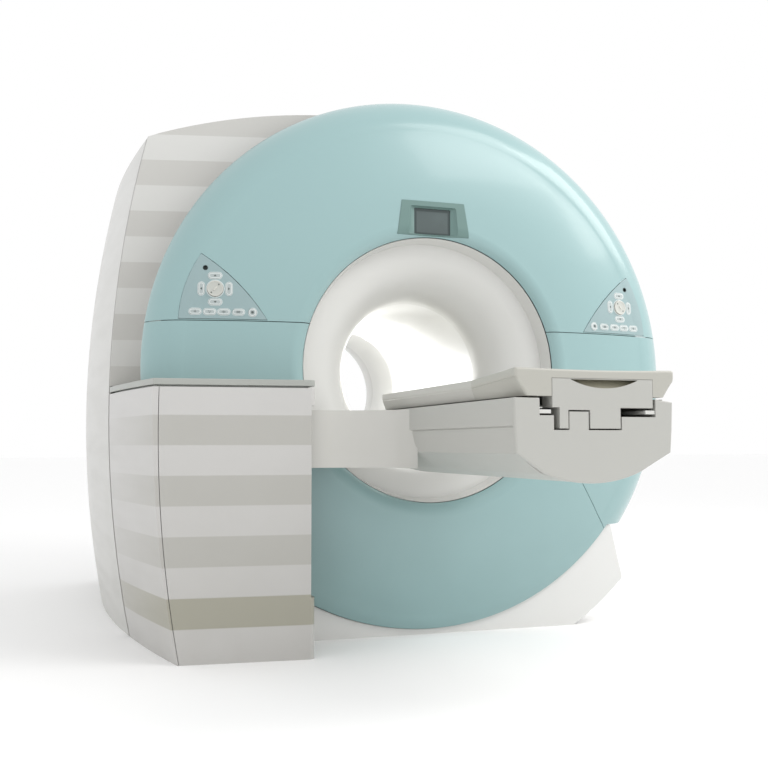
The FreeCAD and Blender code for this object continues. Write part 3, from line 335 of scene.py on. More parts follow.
class Shader:
    """A node material in the making."""

    def __init__(self, name: str) -> None:
        """Starts a material with its surface shader and its place on the object."""
        self.material: Material = bpy.data.materials.new(name)
        self.material.use_nodes = True
        self.tree = self.material.node_tree
        self.tree.nodes.clear()
        output = self.tree.nodes.new("ShaderNodeOutputMaterial")
        self.surface: Node = self.tree.nodes.new("ShaderNodeBsdfPrincipled")
        self.tree.links.new(self.surface.outputs["BSDF"], output.inputs["Surface"])
        self.place: NodeSocket = self.tree.nodes.new("ShaderNodeTexCoord").outputs["Object"]

    def group(self, tree: ShaderNodeTree, **values: float | NodeSocket | tuple) -> NodeSocket:
        """Places a shared group.

        Args:
            tree: The group.
            values: Its inputs; an underscore in a name stands for a space.

        Returns:
            The group's output.
        """
        node = self.tree.nodes.new("ShaderNodeGroup")
        node.node_tree = tree
        self.tree.links.new(self.place, node.inputs["Place"])
        for name, value in values.items():
            self.put(value, node.inputs[name.replace("_", " ")])
        return node.outputs[0]

    def put(self, value: float | NodeSocket | tuple, socket: NodeSocket) -> None:
        """Links a socket, or sets its number or colour."""
        put(self.tree, value, socket)

    def mix(self, share: NodeSocket, below: NodeSocket | tuple, above: NodeSocket | tuple) -> NodeSocket:
        """Mixes two colours by a mask."""
        node = self.tree.nodes.new("ShaderNodeMix")
        node.data_type = "RGBA"
        for socket, value in ((0, share), (6, below), (7, above)):
            self.put(value, node.inputs[socket])
        return node.outputs[2]

    def scaled(self, value: NodeSocket, low: float, high: float) -> NodeSocket:
        """Spreads a mask of 0 to 1 over a range."""
        return add_range(self.tree, value, low=low, high=high)

    def bump(self, height: NodeSocket, depth_mm: float, strength: float = 1.0) -> None:
        """Lets a height field tilt the surface."""
        node = self.tree.nodes.new("ShaderNodeBump")
        node.inputs["Strength"].default_value = strength
        node.inputs["Distance"].default_value = depth_mm * MM
        self.tree.links.new(height, node.inputs["Height"])
        self.tree.links.new(node.outputs["Normal"], self.surface.inputs["Normal"])


@dataclass(frozen=True)
class Bands:
    """Level colour bands on a cover: the height of one band's top, their pitch and their colours."""

    top: float
    pitch: float
    colour: Colour
    foot_colour: Colour
    foot_top: float
    fades_from: Optional[float] = None
    fades_to: float = 0.0


@dataclass(frozen=True)
class Finish:
    """A sprayed, moulded or metal finish: its colour, gloss and the unevenness of its surface."""

    name: str
    colour: Colour
    roughness: float
    grain: Grain = Grain.SPRAYED
    depth: float = 0.12
    fine_share: float = 0.06
    metallic: float = 0.0
    coat: float = 0.0
    drift: float = 0.012
    drift_scale: float = 1.6
    # How strongly the colour darkens towards the floor, as dust or as painted shade, how high that reaches, and the
    # colour that it goes to.
    dust_and_shade: float = 0.0
    reach: float = 0.35
    dust_and_shade_colour: Colour = (150, 147, 138)
    wipes: float = 0.05
    rub: float = 0.0
    rub_colour: Colour = (236, 238, 236)
    bands: Optional[Bands] = None

    def build(self, kit: ShaderKit) -> Material:
        """Builds the material.

        Args:
            kit: The shared node groups.

        Returns:
            The finished material.
        """
        shader = Shader(self.name)
        colour = shader.group(kit.drift, Color=linear(self.colour), Scale=self.drift_scale, Amount=self.drift)
        if self.bands:
            colour = self._banded(shader, kit, colour)
        # Darkens towards the floor: dust on some finishes, painted shade on the covers and the ring.
        if self.dust_and_shade:
            dust_and_shade_mask = shader.group(kit.dust_and_shade, Reach=self.reach)
            colour = shader.mix(shader.scaled(dust_and_shade_mask, 0.0, self.dust_and_shade), colour, linear(self.dust_and_shade_colour))
        if self.rub:
            worn = shader.group(kit.rub, Scale=45.0)
            colour = shader.mix(shader.scaled(worn, 0.0, self.rub), colour, linear(self.rub_colour))
        shader.put(colour, shader.surface.inputs["Base Color"])
        streaks = shader.group(kit.wipes, Scale=7.0)
        rough = shader.scaled(streaks, self.roughness - self.wipes, self.roughness + self.wipes)
        shader.put(rough, shader.surface.inputs["Roughness"])
        shader.surface.inputs["Metallic"].default_value = self.metallic
        shader.surface.inputs["Coat Weight"].default_value = self.coat
        shader.surface.inputs["Coat Roughness"].default_value = 0.12
        waves, cells = self.grain.value
        height = shader.group(kit.grain, Waves=waves, Cells=cells, Fine_Share=self.fine_share)
        shader.bump(height, self.depth)
        return shader.material

    def _banded(self, shader: Shader, kit: ShaderKit, colour: NodeSocket) -> NodeSocket:
        """Lays the bands over the colour, the lowest of them in its own colour."""
        bands, tree = self.bands, shader.tree
        mask = shader.group(kit.bands, Top=bands.top, Pitch=bands.pitch, Blur=70.0)
        height = add_axis(tree, shader.place, "Z")
        over = add_math(tree, "GREATER_THAN", height, bands.foot_top - bands.pitch * 0.75)
        mask = add_math(tree, "MULTIPLY", mask, over)
        low = add_range(tree, height, bands.foot_top + 0.002, bands.foot_top - 0.002)
        tint = shader.mix(low, linear(bands.colour), linear(bands.foot_colour))
        if bands.fades_from is not None:
            spot = add_axis(tree, shader.place, "X")
            mask = add_math(tree, "MULTIPLY", mask, add_range(tree, spot, bands.fades_to, bands.fades_from,
                                                              smooth=True))
        return shader.mix(mask, colour, tint)


@dataclass(frozen=True)
class ScreenGlass:
    """The display's glass: a dark masked border round the quiet picture area, under a polished front."""

    name: str = "display glass"
    border: Colour = (52, 66, 66)
    area: Colour = (78, 90, 90)
    half_x: float = 0.068
    foot: float = 1.588
    top: float = 1.676
    blur: float = 0.0035

    def build(self, kit: ShaderKit) -> Material:
        """Builds the material.

        Args:
            kit: The shared node groups.

        Returns:
            The finished material.
        """
        shader = Shader(self.name)
        tree = shader.tree
        side = add_math(tree, "ABSOLUTE", add_axis(tree, shader.place, "X"))
        height = add_axis(tree, shader.place, "Z")
        inside = add_range(tree, side, self.half_x, self.half_x - self.blur)
        for edge, way in ((self.foot, 1), (self.top, -1)):
            inside = add_math(tree, "MULTIPLY", inside, add_range(tree, height, edge, edge + way * self.blur))
        glow = shader.group(kit.drift, Color=linear(self.area), Scale=9.0, Amount=0.12)
        shader.put(shader.mix(inside, linear(self.border), glow), shader.surface.inputs["Base Color"])
        streaks = shader.group(kit.wipes, Scale=14.0)
        shader.put(shader.scaled(streaks, 0.14, 0.26), shader.surface.inputs["Roughness"])
        shader.surface.inputs["Coat Weight"].default_value = 0.35
        shader.surface.inputs["Coat Roughness"].default_value = 0.08
        shader.bump(shader.group(kit.grain, Waves=5.0, Cells=300.0, Fine_Share=0.02), 0.02)
        return shader.material


COVER_BANDS = Bands(top=0.850, pitch=0.2087, colour=(199, 198, 194), foot_colour=(168, 166, 154), foot_top=0.235)
PEDESTAL_BANDS = Bands(top=0.850, pitch=0.2087, colour=(179, 178, 173), foot_colour=(160, 158, 143),
                       foot_top=0.235, fades_from=-1.02, fades_to=-1.30)
FINISHES = (
    # The aqua goes deeper towards the floor: painted shade on the ring's lower half, under the table and beside the
    # pedestal.
    Finish("aqua cover paint", (147, 178, 179), 0.30, coat=0.36, depth=0.02, drift=0.006, wipes=0.02, dust_and_shade=0.4,
           reach=0.95, dust_and_shade_colour=(86, 112, 110)),
    Finish("aqua panel paint", (148, 170, 172), 0.42, Grain.MOULDED, depth=0.03, drift=0.008),
    # Darker than the ring's paint: painted shade inside the tray's hollow.
    Finish("display tray paint with painted shade", (106, 134, 130), 0.42, Grain.MOULDED, depth=0.03),
    # Darker towards the floor: painted shade, leaving the upper parts lighter as light from above would.
    Finish("white cover paint", (204, 204, 201), 0.38, coat=0.12, depth=0.05, dust_and_shade=0.5, reach=1.6),
    # Darker towards the floor: painted shade, leaving the tower's top lighter as light from above would.
    Finish("banded tower paint", (213, 213, 210), 0.38, coat=0.12, depth=0.05, bands=COVER_BANDS, dust_and_shade=0.9,
           reach=2.0),
    # Darker towards the floor: painted shade.
    Finish("banded pedestal paint", (197, 196, 194), 0.38, coat=0.12, depth=0.05, dust_and_shade=0.6, reach=1.0,
           bands=PEDESTAL_BANDS),
    Finish("cap paint", (166, 169, 164), 0.40, coat=0.10, depth=0.05),
    Finish("plinth paint", (220, 220, 218), 0.40, coat=0.10, depth=0.05, dust_and_shade=0.10),
    Finish("funnel gelcoat", (218, 218, 215), 0.30, coat=0.30, depth=0.04, wipes=0.02),
    Finish("liner laminate", (230, 230, 228), 0.34, coat=0.20, depth=0.04, wipes=0.03),
    Finish("table plastic", (183, 183, 178), 0.46, Grain.MOULDED, depth=0.05, fine_share=0.30),
    Finish("couch laminate", (181, 180, 172), 0.40, Grain.MOULDED, depth=0.05, coat=0.08),
    # A lighter copy of the couch laminate: painted light on the top.
    Finish("couch top laminate with painted light", (194, 193, 187), 0.38, Grain.MOULDED, depth=0.05, coat=0.12),
    # Lighter than the table plastic: painted light on the arm.
    Finish("arm paint with painted light", (202, 201, 196), 0.40, Grain.MOULDED, depth=0.05, coat=0.10),
    # Darker than the plastic round it: painted shade in the grip's recess.
    Finish("grip moulding with painted shade", (158, 155, 138), 0.60, Grain.MOULDED, depth=0.08, fine_share=0.5),
    Finish("rail plastic", (214, 214, 210), 0.35, Grain.POLISHED, depth=0.02, rub=0.3),
    Finish("bezel plastic", (214, 222, 222), 0.34, Grain.MOULDED, depth=0.02, fine_share=0.4),
    Finish("key plastic", (212, 219, 218), 0.38, Grain.MOULDED, depth=0.02, fine_share=0.4, rub=0.2),
    Finish("key lens", (172, 181, 181), 0.30, Grain.MOULDED, depth=0.02, fine_share=0.4, coat=0.2),
    Finish("dial plastic", (202, 202, 195), 0.42, Grain.MOULDED, depth=0.03, fine_share=0.4, rub=0.25),
    Finish("dial face", (190, 192, 186), 0.46, Grain.MOULDED, depth=0.03, fine_share=0.4),
    Finish("stop key plastic", (216, 221, 220), 0.38, Grain.MOULDED, depth=0.02, fine_share=0.4, rub=0.2),
    Finish("legend print", (74, 84, 82), 0.55, Grain.MOULDED, depth=0.01, drift=0.03),
    Finish("black socket plastic", (34, 46, 44), 0.45, Grain.MOULDED, depth=0.02, drift=0.04, rub=0.15),
    Finish("seal bristle", (70, 70, 68), 0.85, Grain.CAST, depth=0.5, fine_share=0.9, drift=0.08, drift_scale=90.0),
    Finish("vessel steel", (168, 171, 174), 0.42, Grain.POLISHED, depth=0.15, fine_share=0.4, metallic=0.9),
    Finish("coil resin", (150, 118, 62), 0.32, Grain.CAST, depth=0.3, drift=0.05, coat=0.4),
    Finish("painted steel", (96, 104, 112), 0.48, Grain.CAST, depth=0.08, drift=0.03, rub=0.6,
           rub_colour=(176, 178, 180), dust_and_shade=0.3),
    Finish("ground steel", (196, 197, 198), 0.24, Grain.POLISHED, depth=0.04, fine_share=0.8, metallic=1.0),
    Finish("machined aluminium", (190, 192, 194), 0.34, Grain.POLISHED, depth=0.05, fine_share=0.7,
           metallic=0.95, rub=0.3),
    Finish("motor enamel", (58, 62, 66), 0.40, Grain.CAST, depth=0.10, drift=0.03, rub=0.7,
           rub_colour=(150, 152, 154)),
    ScreenGlass(),
)


# ---------------------------------------------------------------- mesh work


class Workpiece:
    """One piece in the making: a mesh and the operators that shape it."""

    def __init__(self) -> None:
        """Starts with nothing, and an edge mark that worn finishes read."""
        self.bm = bmesh.new()
        self.rubbed = self.bm.verts.layers.float.new("edge")

    def chain(self, points: Sequence[Vector], closed: bool = False) -> list[BMEdge]:
        """Adds vertices joined in a row, the last to the first where it is closed, and gives the edges."""
        verts = [self.bm.verts.new(point) for point in points]
        pairs = list(zip(verts, verts[1:])) + ([(verts[-1], verts[0])] if closed else [])
        return [self.bm.edges.new(pair) for pair in pairs]

    def turn(self, section: Sequence[Spot], closed: bool = False, steps: int = SPIN_STEPS) -> "Workpiece":
        """Turns a section of radius and depth all round the bore axis."""
        edges = self.chain([place(radius, depth, 0) for radius, depth in section], closed)
        self.spin(edges, place(0, 0, 0), INWARD, FULL_TURN, steps)
        return self

    def spin(self, edges: Sequence[BMEdge], centre: Vector, axis: Vector, angle: float, steps: int,
             rise: float = 0.0) -> None:
        """Sweeps edges about an axis.

        Args:
            edges: What is swept.
            centre: A point of the axis.
            axis: The axis's direction.
            angle: How far it turns, in radians.
            steps: In how many steps.
            rise: How far each step climbs along the axis, in metres.
        """
        verts = list({vert for edge in edges for vert in edge.verts})
        full = abs(angle - FULL_TURN) < 1e-9 and not rise
        bmesh.ops.spin(self.bm, geom=verts + list(edges), cent=centre, axis=axis, dvec=axis * rise,
                       angle=angle, steps=steps, use_merge=full, use_duplicate=False)

    def rows(self, rows: Sequence[Sequence[Vector]], closed: bool = False) -> "Workpiece":
        """Lays a skin through rows of points.

        Args:
            rows: Rows of equal length.
            closed: Whether each row comes back to its first point.

        Returns:
            This piece.
        """
        lines = [list(row) + [row[0]] if closed else list(row) for row in rows]
        wide, high = len(lines[0]) - 1, len(lines) - 1
        grid = bmesh.ops.create_grid(self.bm, x_segments=wide, y_segments=high, size=1.0)["verts"]
        for vert in grid:
            column, row = round((vert.co.x + 1) / 2 * wide), round((vert.co.y + 1) / 2 * high)
            vert.co = lines[row][column]
        if closed:
            bmesh.ops.remove_doubles(self.bm, verts=grid, dist=1e-6)
        return self

    def face(self, points: Sequence[Vector]) -> BMFace:
        """Adds one face through points in order."""
        return self.bm.faces.new([self.bm.verts.new(point) for point in points])

    def plate(self, outline: Sequence[Vector], holes: Sequence[Sequence[Vector]], normal: Vector) -> list[BMFace]:
        """Fills a flat outline round its holes.

        Args:
            outline: The outer line.
            holes: The lines of the holes.
            normal: The direction that the plate faces.

        Returns:
            The faces.
        """
        edges = self.chain(outline, True)
        for hole in holes:
            edges += self.chain(hole, True)
        made = bmesh.ops.triangle_fill(self.bm, use_beauty=True, use_dissolve=False, edges=edges, normal=normal)
        return [item for item in made["geom"] if isinstance(item, BMFace)]

    def run(self, faces: Sequence[BMFace], way: Vector) -> list[BMFace]:
        """Runs faces along a direction into a body, and gives the moved faces."""
        made = bmesh.ops.extrude_face_region(self.bm, geom=list(faces))["geom"]
        bmesh.ops.translate(self.bm, vec=way, verts=[item for item in made if isinstance(item, BMVert)])
        return [item for item in made if isinstance(item, BMFace)]

    def prism(self, outline: Sequence[Spot], depth0: float, depth1: float) -> "Workpiece":
        """A body from an outline given across and up, between two depths."""
        self.run([self.face(upright(outline, depth0))], Vector((0, (depth1 - depth0) * MM, 0)))
        return self

    def column(self, line: Sequence[Spot], level0: float, level1: float) -> "Workpiece":
        """A body from a line given across and behind, between two levels."""
        self.run([self.face(lying(line, level0))], Vector((0, 0, (level1 - level0) * MM)))
        return self

    def open_edges(self, test: Callable[[Vector], bool]) -> list[BMEdge]:
        """The edges on a rim whose two ends pass a test."""
        return [edge for edge in self.bm.edges if edge.is_boundary and all(test(v.co) for v in edge.verts)]

    def number(self, faces: Sequence[BMFace], index: int) -> None:
        """Gives a material number to some faces and to those that touch them."""
        for face in {near for face in faces for vert in face.verts for near in vert.link_faces}:
            face.material_index = index

    def round_rim(self, faces: Sequence[BMFace], width: float, segments: int) -> None:
        """Rounds the edges of some faces of a piece that is still in a key's own space."""
        rim = list({edge for face in faces for edge in face.edges})
        bmesh.ops.bevel(self.bm, geom=rim, offset=width, offset_type="OFFSET", segments=segments, profile=0.5,
                        affect="EDGES", clamp_overlap=True, material=-1)

    def slice(self, point: Vector, normal: Vector, near: Optional[Callable[[Vector], bool]] = None) -> list[BMEdge]:
        """Cuts the faces along a plane and takes nothing away.

        Args:
            point: A point of the plane.
            normal: The plane's normal.
            near: Tells by its middle whether a face takes part; every face does where it is left out.

        Returns:
            The edges along the cut.
        """
        faces = [face for face in self.bm.faces if near is None or near(face.calc_center_median())]
        edges = {edge for face in faces for edge in face.edges}
        verts = {vert for face in faces for vert in face.verts}
        made = bmesh.ops.bisect_plane(self.bm, geom=[*verts, *edges, *faces], dist=1e-7, plane_co=point,
                                      plane_no=normal)
        return [item for item in made["geom_cut"] if isinstance(item, BMEdge)]

    def drop(self, test: Callable[[Vector], bool]) -> "Workpiece":
        """Takes away the faces whose middles pass a test."""
        gone = [face for face in self.bm.faces if test(face.calc_center_median())]
        bmesh.ops.delete(self.bm, geom=gone, context="FACES")
        return self

    def cut_level(self, level: float, keep_above: bool) -> "Workpiece":
        """Cuts at a level and keeps one side."""
        self.slice(place(0, 0, level), UPWARD)
        return self.drop(lambda middle: (level_of(middle) < level) == keep_above)

    def cut_window(self, outline: Sequence[Spot]) -> "Workpiece":
        """Cuts a window whose outline, given across and up, bows outwards everywhere."""
        centre_x = sum(x for x, _ in outline) / len(outline)
        centre_l = sum(level for _, level in outline) / len(outline)
        walls: list[tuple[float, float, float, float]] = []
        cuts: list[BMEdge] = []
        for (x0, l0), (x1, l1) in zip(outline, [*outline[1:], outline[0]]):
            out_x, out_l = l1 - l0, x0 - x1
            if out_x * (x0 - centre_x) + out_l * (l0 - centre_l) < 0:
                out_x, out_l = -out_x, -out_l
            walls.append((x0, l0, out_x, out_l))
            middle_x, middle_l, reach = (x0 + x1) / 2, (l0 + l1) / 2, math.hypot(x1 - x0, l1 - l0) / 2 + 26
            cuts += self.slice(place(x0, 0, l0), Vector((out_x, 0, out_l)).normalized(),
                               lambda m: math.hypot(across(m) - middle_x, level_of(m) - middle_l) < reach)
        self.drop(lambda m: all((across(m) - x) * ox + (level_of(m) - level) * ol < 0
                                for x, level, ox, ol in walls))
        spare = [edge for edge in set(cuts) if edge.is_valid and len(edge.link_faces) == 2]
        bmesh.ops.dissolve_edges(self.bm, edges=spare, use_verts=False, use_face_split=False)
        loose = [vert for vert in self.bm.verts if len(vert.link_edges) == 2 and not vert.is_boundary]
        bmesh.ops.dissolve_verts(self.bm, verts=loose)
        return self

    def soften(self, width: float, segments: int = 2, angle: float = 30.0,
               test: Optional[Callable[[BMEdge], bool]] = None) -> "Workpiece":
        """Rounds the sharp edges, and marks them for wear.

        Args:
            width: How far the rounding reaches, in millimetres.
            segments: In how many parts.
            angle: How far two faces have to turn for their edge to be sharp, in degrees.
            test: Tells whether a sharp edge takes part; every one does where it is left out.

        Returns:
            This piece.
        """
        limit = math.radians(angle)
        edges = [edge for edge in self.bm.edges
                 if len(edge.link_faces) == 2 and edge.calc_face_angle(0.0) > limit and (test is None or test(edge))]
        made = bmesh.ops.bevel(self.bm, geom=edges, offset=width * MM, offset_type="OFFSET", segments=segments,
                               profile=0.5, affect="EDGES", clamp_overlap=True, loop_slide=True, material=-1)
        for vert in made["verts"]:
            vert[self.rubbed] = 1.0
        return self

    def orient(self, inside: Optional[Vector] = None) -> "Workpiece":
        """Turns the faces outwards.

        Args:
            inside: For an open skin, a point that it faces away from.

        Returns:
            This piece.
        """
        bmesh.ops.remove_doubles(self.bm, verts=self.bm.verts, dist=1e-6)
        bmesh.ops.recalc_face_normals(self.bm, faces=self.bm.faces)
        if inside is not None:
            lean = sum(face.normal.dot(face.calc_center_median() - inside) * face.calc_area()
                       for face in self.bm.faces)
            if lean < 0:
                bmesh.ops.reverse_faces(self.bm, faces=self.bm.faces)
        return self

    def recast(self, node: str, width: float, segments: int = 2) -> "Workpiece":
        """Starts from a copy of a CAD node: its loose triangles are joined and its edges rounded."""
        self.bm.from_mesh(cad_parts[node].data)
        self.rubbed = self.bm.verts.layers.float.get("edge") or self.bm.verts.layers.float.new("edge")
        bmesh.ops.remove_doubles(self.bm, verts=self.bm.verts, dist=2e-5)
        bmesh.ops.dissolve_limit(self.bm, angle_limit=math.radians(0.6), use_dissolve_boundaries=False,
                                 verts=self.bm.verts, edges=self.bm.edges, delimit={"NORMAL"})
        return self.soften(width, segments)

    def mirrored(self) -> "Workpiece":
        """Turns the piece into its mirror image across the bore axis."""
        bmesh.ops.scale(self.bm, vec=Vector((-1, 1, 1)), verts=self.bm.verts)
        bmesh.ops.reverse_faces(self.bm, faces=self.bm.faces)
        return self

    def finish(self, name: str, shop: "Shop", finishes: Sequence[str], slot: str, wall: float = 0.0,
               round_edges: float = 0.0, body: str = "gantry", extra: bool = False) -> None:
        """Makes the object, gives it its wall and finish, and puts it on its body.

        Args:
            name: The piece's name.
            shop: Where the finishes are.
            finishes: The names of its finishes, in the order of the faces' material numbers.
            slot: The record's material slot; not used.
            wall: The thickness that its skin grows inwards, in millimetres.
            round_edges: The rounding of the edges that the wall makes, in millimetres.
            body: The CAD body that it rides on.
            extra: Whether it stands for no CAD node. Otherwise it stands for the one of its own name.
        """
        nodes = [] if extra else [name]
        mesh = bpy.data.meshes.new(name)
        self.bm.to_mesh(mesh)
        self.bm.free()
        if "custom_normal" in mesh.attributes:
            mesh.attributes.remove(mesh.attributes["custom_normal"])
        mesh.polygons.foreach_set("use_smooth", [True] * len(mesh.polygons))
        mesh.set_sharp_from_angle(angle=math.radians(40))
        for finish in finishes:
            mesh.materials.append(shop.materials[finish])
        piece = bpy.data.objects.new(name, mesh)
        bpy.context.scene.collection.objects.link(piece)
        if wall:
            shell = piece.modifiers.new("wall", "SOLIDIFY")
            shell.thickness = wall * MM
            shell.offset = -1.0
            shell.use_even_offset = True
        if round_edges:
            rounding = piece.modifiers.new("rounding", "BEVEL")
            rounding.width = round_edges * MM
            rounding.segments = 2
            rounding.limit_method = "ANGLE"
            rounding.angle_limit = math.radians(38)
        piece.modifiers.new("even normals", "WEIGHTED_NORMAL").keep_sharp = True
        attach(piece, body)
        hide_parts(*nodes)
        LOG.info("%s: %d faces on %s, standing for %s", name, len(mesh.polygons), body, ", ".join(nodes))


class Shop:
    """The finishes in use, built once."""

    def __init__(self) -> None:
        """Builds every finish."""
        kit = ShaderKit()
        self.materials: dict[str, Material] = {finish.name: finish.build(kit) for finish in FINISHES}
        LOG.info("%d finishes are ready", len(self.materials))


def dress(shop: Shop, rows: Sequence[tuple[str, str, str, str, float]], segments: int = 2) -> None:
    """Makes a piece out of each of some CAD nodes.

    Args:
        shop: Where the finishes are.
        rows: The node, its body, finish and slot, and the rounding of its edges in millimetres.
        segments: In how many parts the edges are rounded.
    """
    for node, body, finish, slot, width in rows:
        Workpiece().recast(node, width, segments).finish(node, shop, [finish], slot, body=body)


# ---------------------------------------------------------------- ring


@dataclass
class RingFront:
    """The four painted covers round the mouth, of one pillow-shaped section."""

    lip: Arc = Arc((527.0, 0.0), (548.0, -15.0), (590.0, -20.0))
    face: Arc = Arc((590.0, -20.0), (780.0, -4.0), (962.0, 32.0))
    rim: Arc = Arc((962.0, 32.0), (1074.0, 84.0), (1116.0, 150.0))
    back: tuple[Spot, ...] = ((1115.6, 156.0), (1114.6, 163.0), (1112.0, 170.0), (1104.0, 178.0))
    disc_r: float = 1022.0
    seam_level: float = 164.0
    seam: float = 3.0
    plinth_level: float = -634.0
    slant_foot: Spot = (490.0, -190.0)
    slant_run: Spot = (279.0, -432.0)
    bay_x: float = -535.0
    bay_level: float = -66.0
    wall: float = 8.0

    def section(self) -> list[Spot]:
        """The section's radius and depth, from the mouth over the face to the back of the rim."""
        spots = self.lip.points(10) + self.face.points(14)[1:] + self.rim.points(18)[1:]
        spots.append((self.disc_r, self.rim.low_side(self.disc_r)))
        return sorted(spots) + list(self.back)

    def depth(self, radius: float) -> float:
        """The depth of the face at a radius."""
        arc = self.lip if radius < self.face.first[0] else self.face if radius < self.rim.first[0] else self.rim
        return arc.low_side(radius)

    def on_face(self, x: float, level: float, lift: float = 0.0) -> Vector:
        """The point of the face at a place seen from the front."""
        return place(x, self.depth(math.hypot(x, level)) - lift, level)

    def _skin(self) -> Workpiece:
        """The whole ring, uncut."""
        return Workpiece().turn(self.section())

    def _slant(self, piece: Workpiece, side: Side, shift: float, keep_outside: bool) -> None:
        """Cuts along the slanting seam of a side, and keeps the part outside or inside it."""
        run_x, run_l = self.slant_run
        normal = Vector((-run_l * side.value, 0, run_x)).normalized()
        point = place(side.value * (self.slant_foot[0] + shift), 0, self.slant_foot[1])
        piece.slice(point, normal)
        piece.drop(lambda middle: ((middle - point).dot(normal) < 0) == keep_outside)

    def _trim_foot(self, piece: Workpiece) -> None:
        """Ends the covers at the smaller disc where the plinth stands beside them."""
        foot = place(0, 0, self.plinth_level)
        piece.slice(foot, UPWARD, lambda m: math.hypot(across(m), level_of(m)) > self.disc_r)
        piece.drop(lambda m: math.hypot(across(m), level_of(m)) > self.disc_r and level_of(m) < self.plinth_level)

    def _trim_bay(self, piece: Workpiece) -> None:
        """Leaves the space that the pedestal stands in."""
        piece.slice(place(self.bay_x, 0, 0), ACROSS, lambda m: level_of(m) < self.bay_level + 60)
        piece.slice(place(0, 0, self.bay_level), UPWARD, lambda m: across(m) < self.bay_x)
        piece.drop(lambda m: across(m) < self.bay_x and level_of(m) < self.bay_level)

    def build(self, shop: Shop, windows: Sequence[Sequence[Spot]]) -> None:
        """Builds the four covers.

        Args:
            shop: Where the finishes are.
            windows: The outlines of the display and the control panels, let into the upper cover.
        """
        half = self.seam / 2
        upper = self._skin().cut_level(self.seam_level + half, True)
        for window in windows:
            upper.cut_window(window)
        sides = {}
        for side in Side:
            sides[side] = self._skin().cut_level(self.seam_level - half, False)
            self._slant(sides[side], side, 0.0, True)
            self._trim_foot(sides[side])
        self._trim_bay(sides[Side.LEFT])
        lower = self._skin().cut_level(0.0, False)
        for side in Side:
            self._slant(lower, side, -self.seam, False)
        self._trim_foot(lower)
        self._trim_bay(lower)
        pieces = {"upper": upper, "right": sides[Side.RIGHT], "left": sides[Side.LEFT], "lower": lower}
        for where, piece in pieces.items():
            name = "ring_cover_" + where
            piece.orient(inside=place(0, 700, 0))
            piece.finish(name, shop, ["aqua cover paint"], "ring_shell", self.wall, 1.4)


@dataclass
class Display:
    """The flared tray over the mouth, with the screen at its bottom."""

    ring: RingFront
    foot: float = 531.0
    top: float = 668.0
    foot_half: float = 152.0
    top_half: float = 132.0
    mouth_foot: Spot = (104.5, 536.4)
    mouth_top: Spot = (97.0, 648.0)
    screen_half: float = 76.0
    screen_foot: float = 538.0
    screen_top: float = 641.0
    lift: float = 1.5

    def outline(self, grow: float = 0.0) -> list[Spot]:
        """The tray's outline across and up, grown by a gap."""
        return [(-self.foot_half - grow, self.foot - grow), (self.foot_half + grow, self.foot - grow),
                (self.top_half + grow, self.top + grow), (-self.top_half - grow, self.top + grow)]

    @staticmethod
    def _round(corners: Sequence[Spot], radius: float) -> list[Spot]:
        """Divides a four-cornered outline evenly, with round corners."""
        spots: list[Spot] = []
        for index in range(4):
            here, after, before = corners[index], corners[(index + 1) % 4], corners[index - 1]
            back, onward = math.dist(here, before), math.dist(here, after)
            for turn in spread(0.0, 1.0, 4):
                x0, level0 = between(here, before, radius * (1 - turn) ** 2 / back)
                x1, level1 = between(here, after, radius * turn ** 2 / onward)
                spots.append((x0 + x1 - here[0], level0 + level1 - here[1]))
            spots += [between(here, after, reach / onward) for reach in spread(radius, onward - radius, 8)[1:-1]]
        return spots

    def build(self, shop: Shop) -> None:
        """Builds the tray and the screen."""
        outer = self._round(self.outline(), 3.0)
        x0, l0 = self.mouth_foot
        x1, l1 = self.mouth_top
        mouth = self._round([(-x0, l0), (x0, l0), (x1, l1), (-x1, l1)], 9.0)
        half, foot, top = self.screen_half + 0.6, self.screen_foot - 0.6, self.screen_top + 0.6
        seat = self._round([(-half, foot), (half, foot), (half, top), (-half, top)], 4.6)
        tray = Workpiece()
        rows = [[self.ring.on_face(x, level, self.lift - 9) for x, level in outer]]
        for share in (0.0, 0.35, 0.7, 1.0):
            rows.append([self.ring.on_face(*between(a, b, share), self.lift) for a, b in zip(outer, mouth)])
        for share, sink in ((0.12, 0.22), (0.3, 0.45), (0.52, 0.68), (0.76, 0.87), (1.0, 1.0)):
            rows.append([])
            for a, b in zip(mouth, seat):
                x, level = between(a, b, share)
                rows[-1].append(place(x, lerp(self.ring.depth(math.hypot(*a)) - self.lift, -6, sink), level))
        rows.append(upright(seat, 6.0))
        tray.rows(rows, closed=True)
        tray.orient(inside=place(0, 400, 590))
        # The tray takes a paint darker than the ring: painted shade in its hollow.
        tray.finish("display_frame", shop, ["display tray paint with painted shade"], "display_surround", 3.0, 0.9)
        half, foot, top = self.screen_half, self.screen_foot, self.screen_top
        corners = [(-half, foot), (half, foot), (half, top), (-half, top)]
        glass = Workpiece().prism(self._round(corners, 4.0), -4.0, 5.5)
        glass.orient().soften(0.9, 3, 40)
        glass.finish("display_screen", shop, ["display glass"], "screen_glass")


class Legend(Enum):
    """The plain signs printed on the keys."""

    UP = "arrow up"
    DOWN = "arrow down"
    IN = "arrow in"
    OUT = "arrow out"
    LIGHT = "lamp"
    FAN = "blades"
    TALK = "waves"
    HOME = "bars"
    STOP = "square"


@dataclass(frozen=True)
class Key:
    """A key of a control panel: its sign, its place seen from the front and its half size."""

    name: str
    legend: Legend
    x: float
    level: float
    half_w: float
    half_h: float


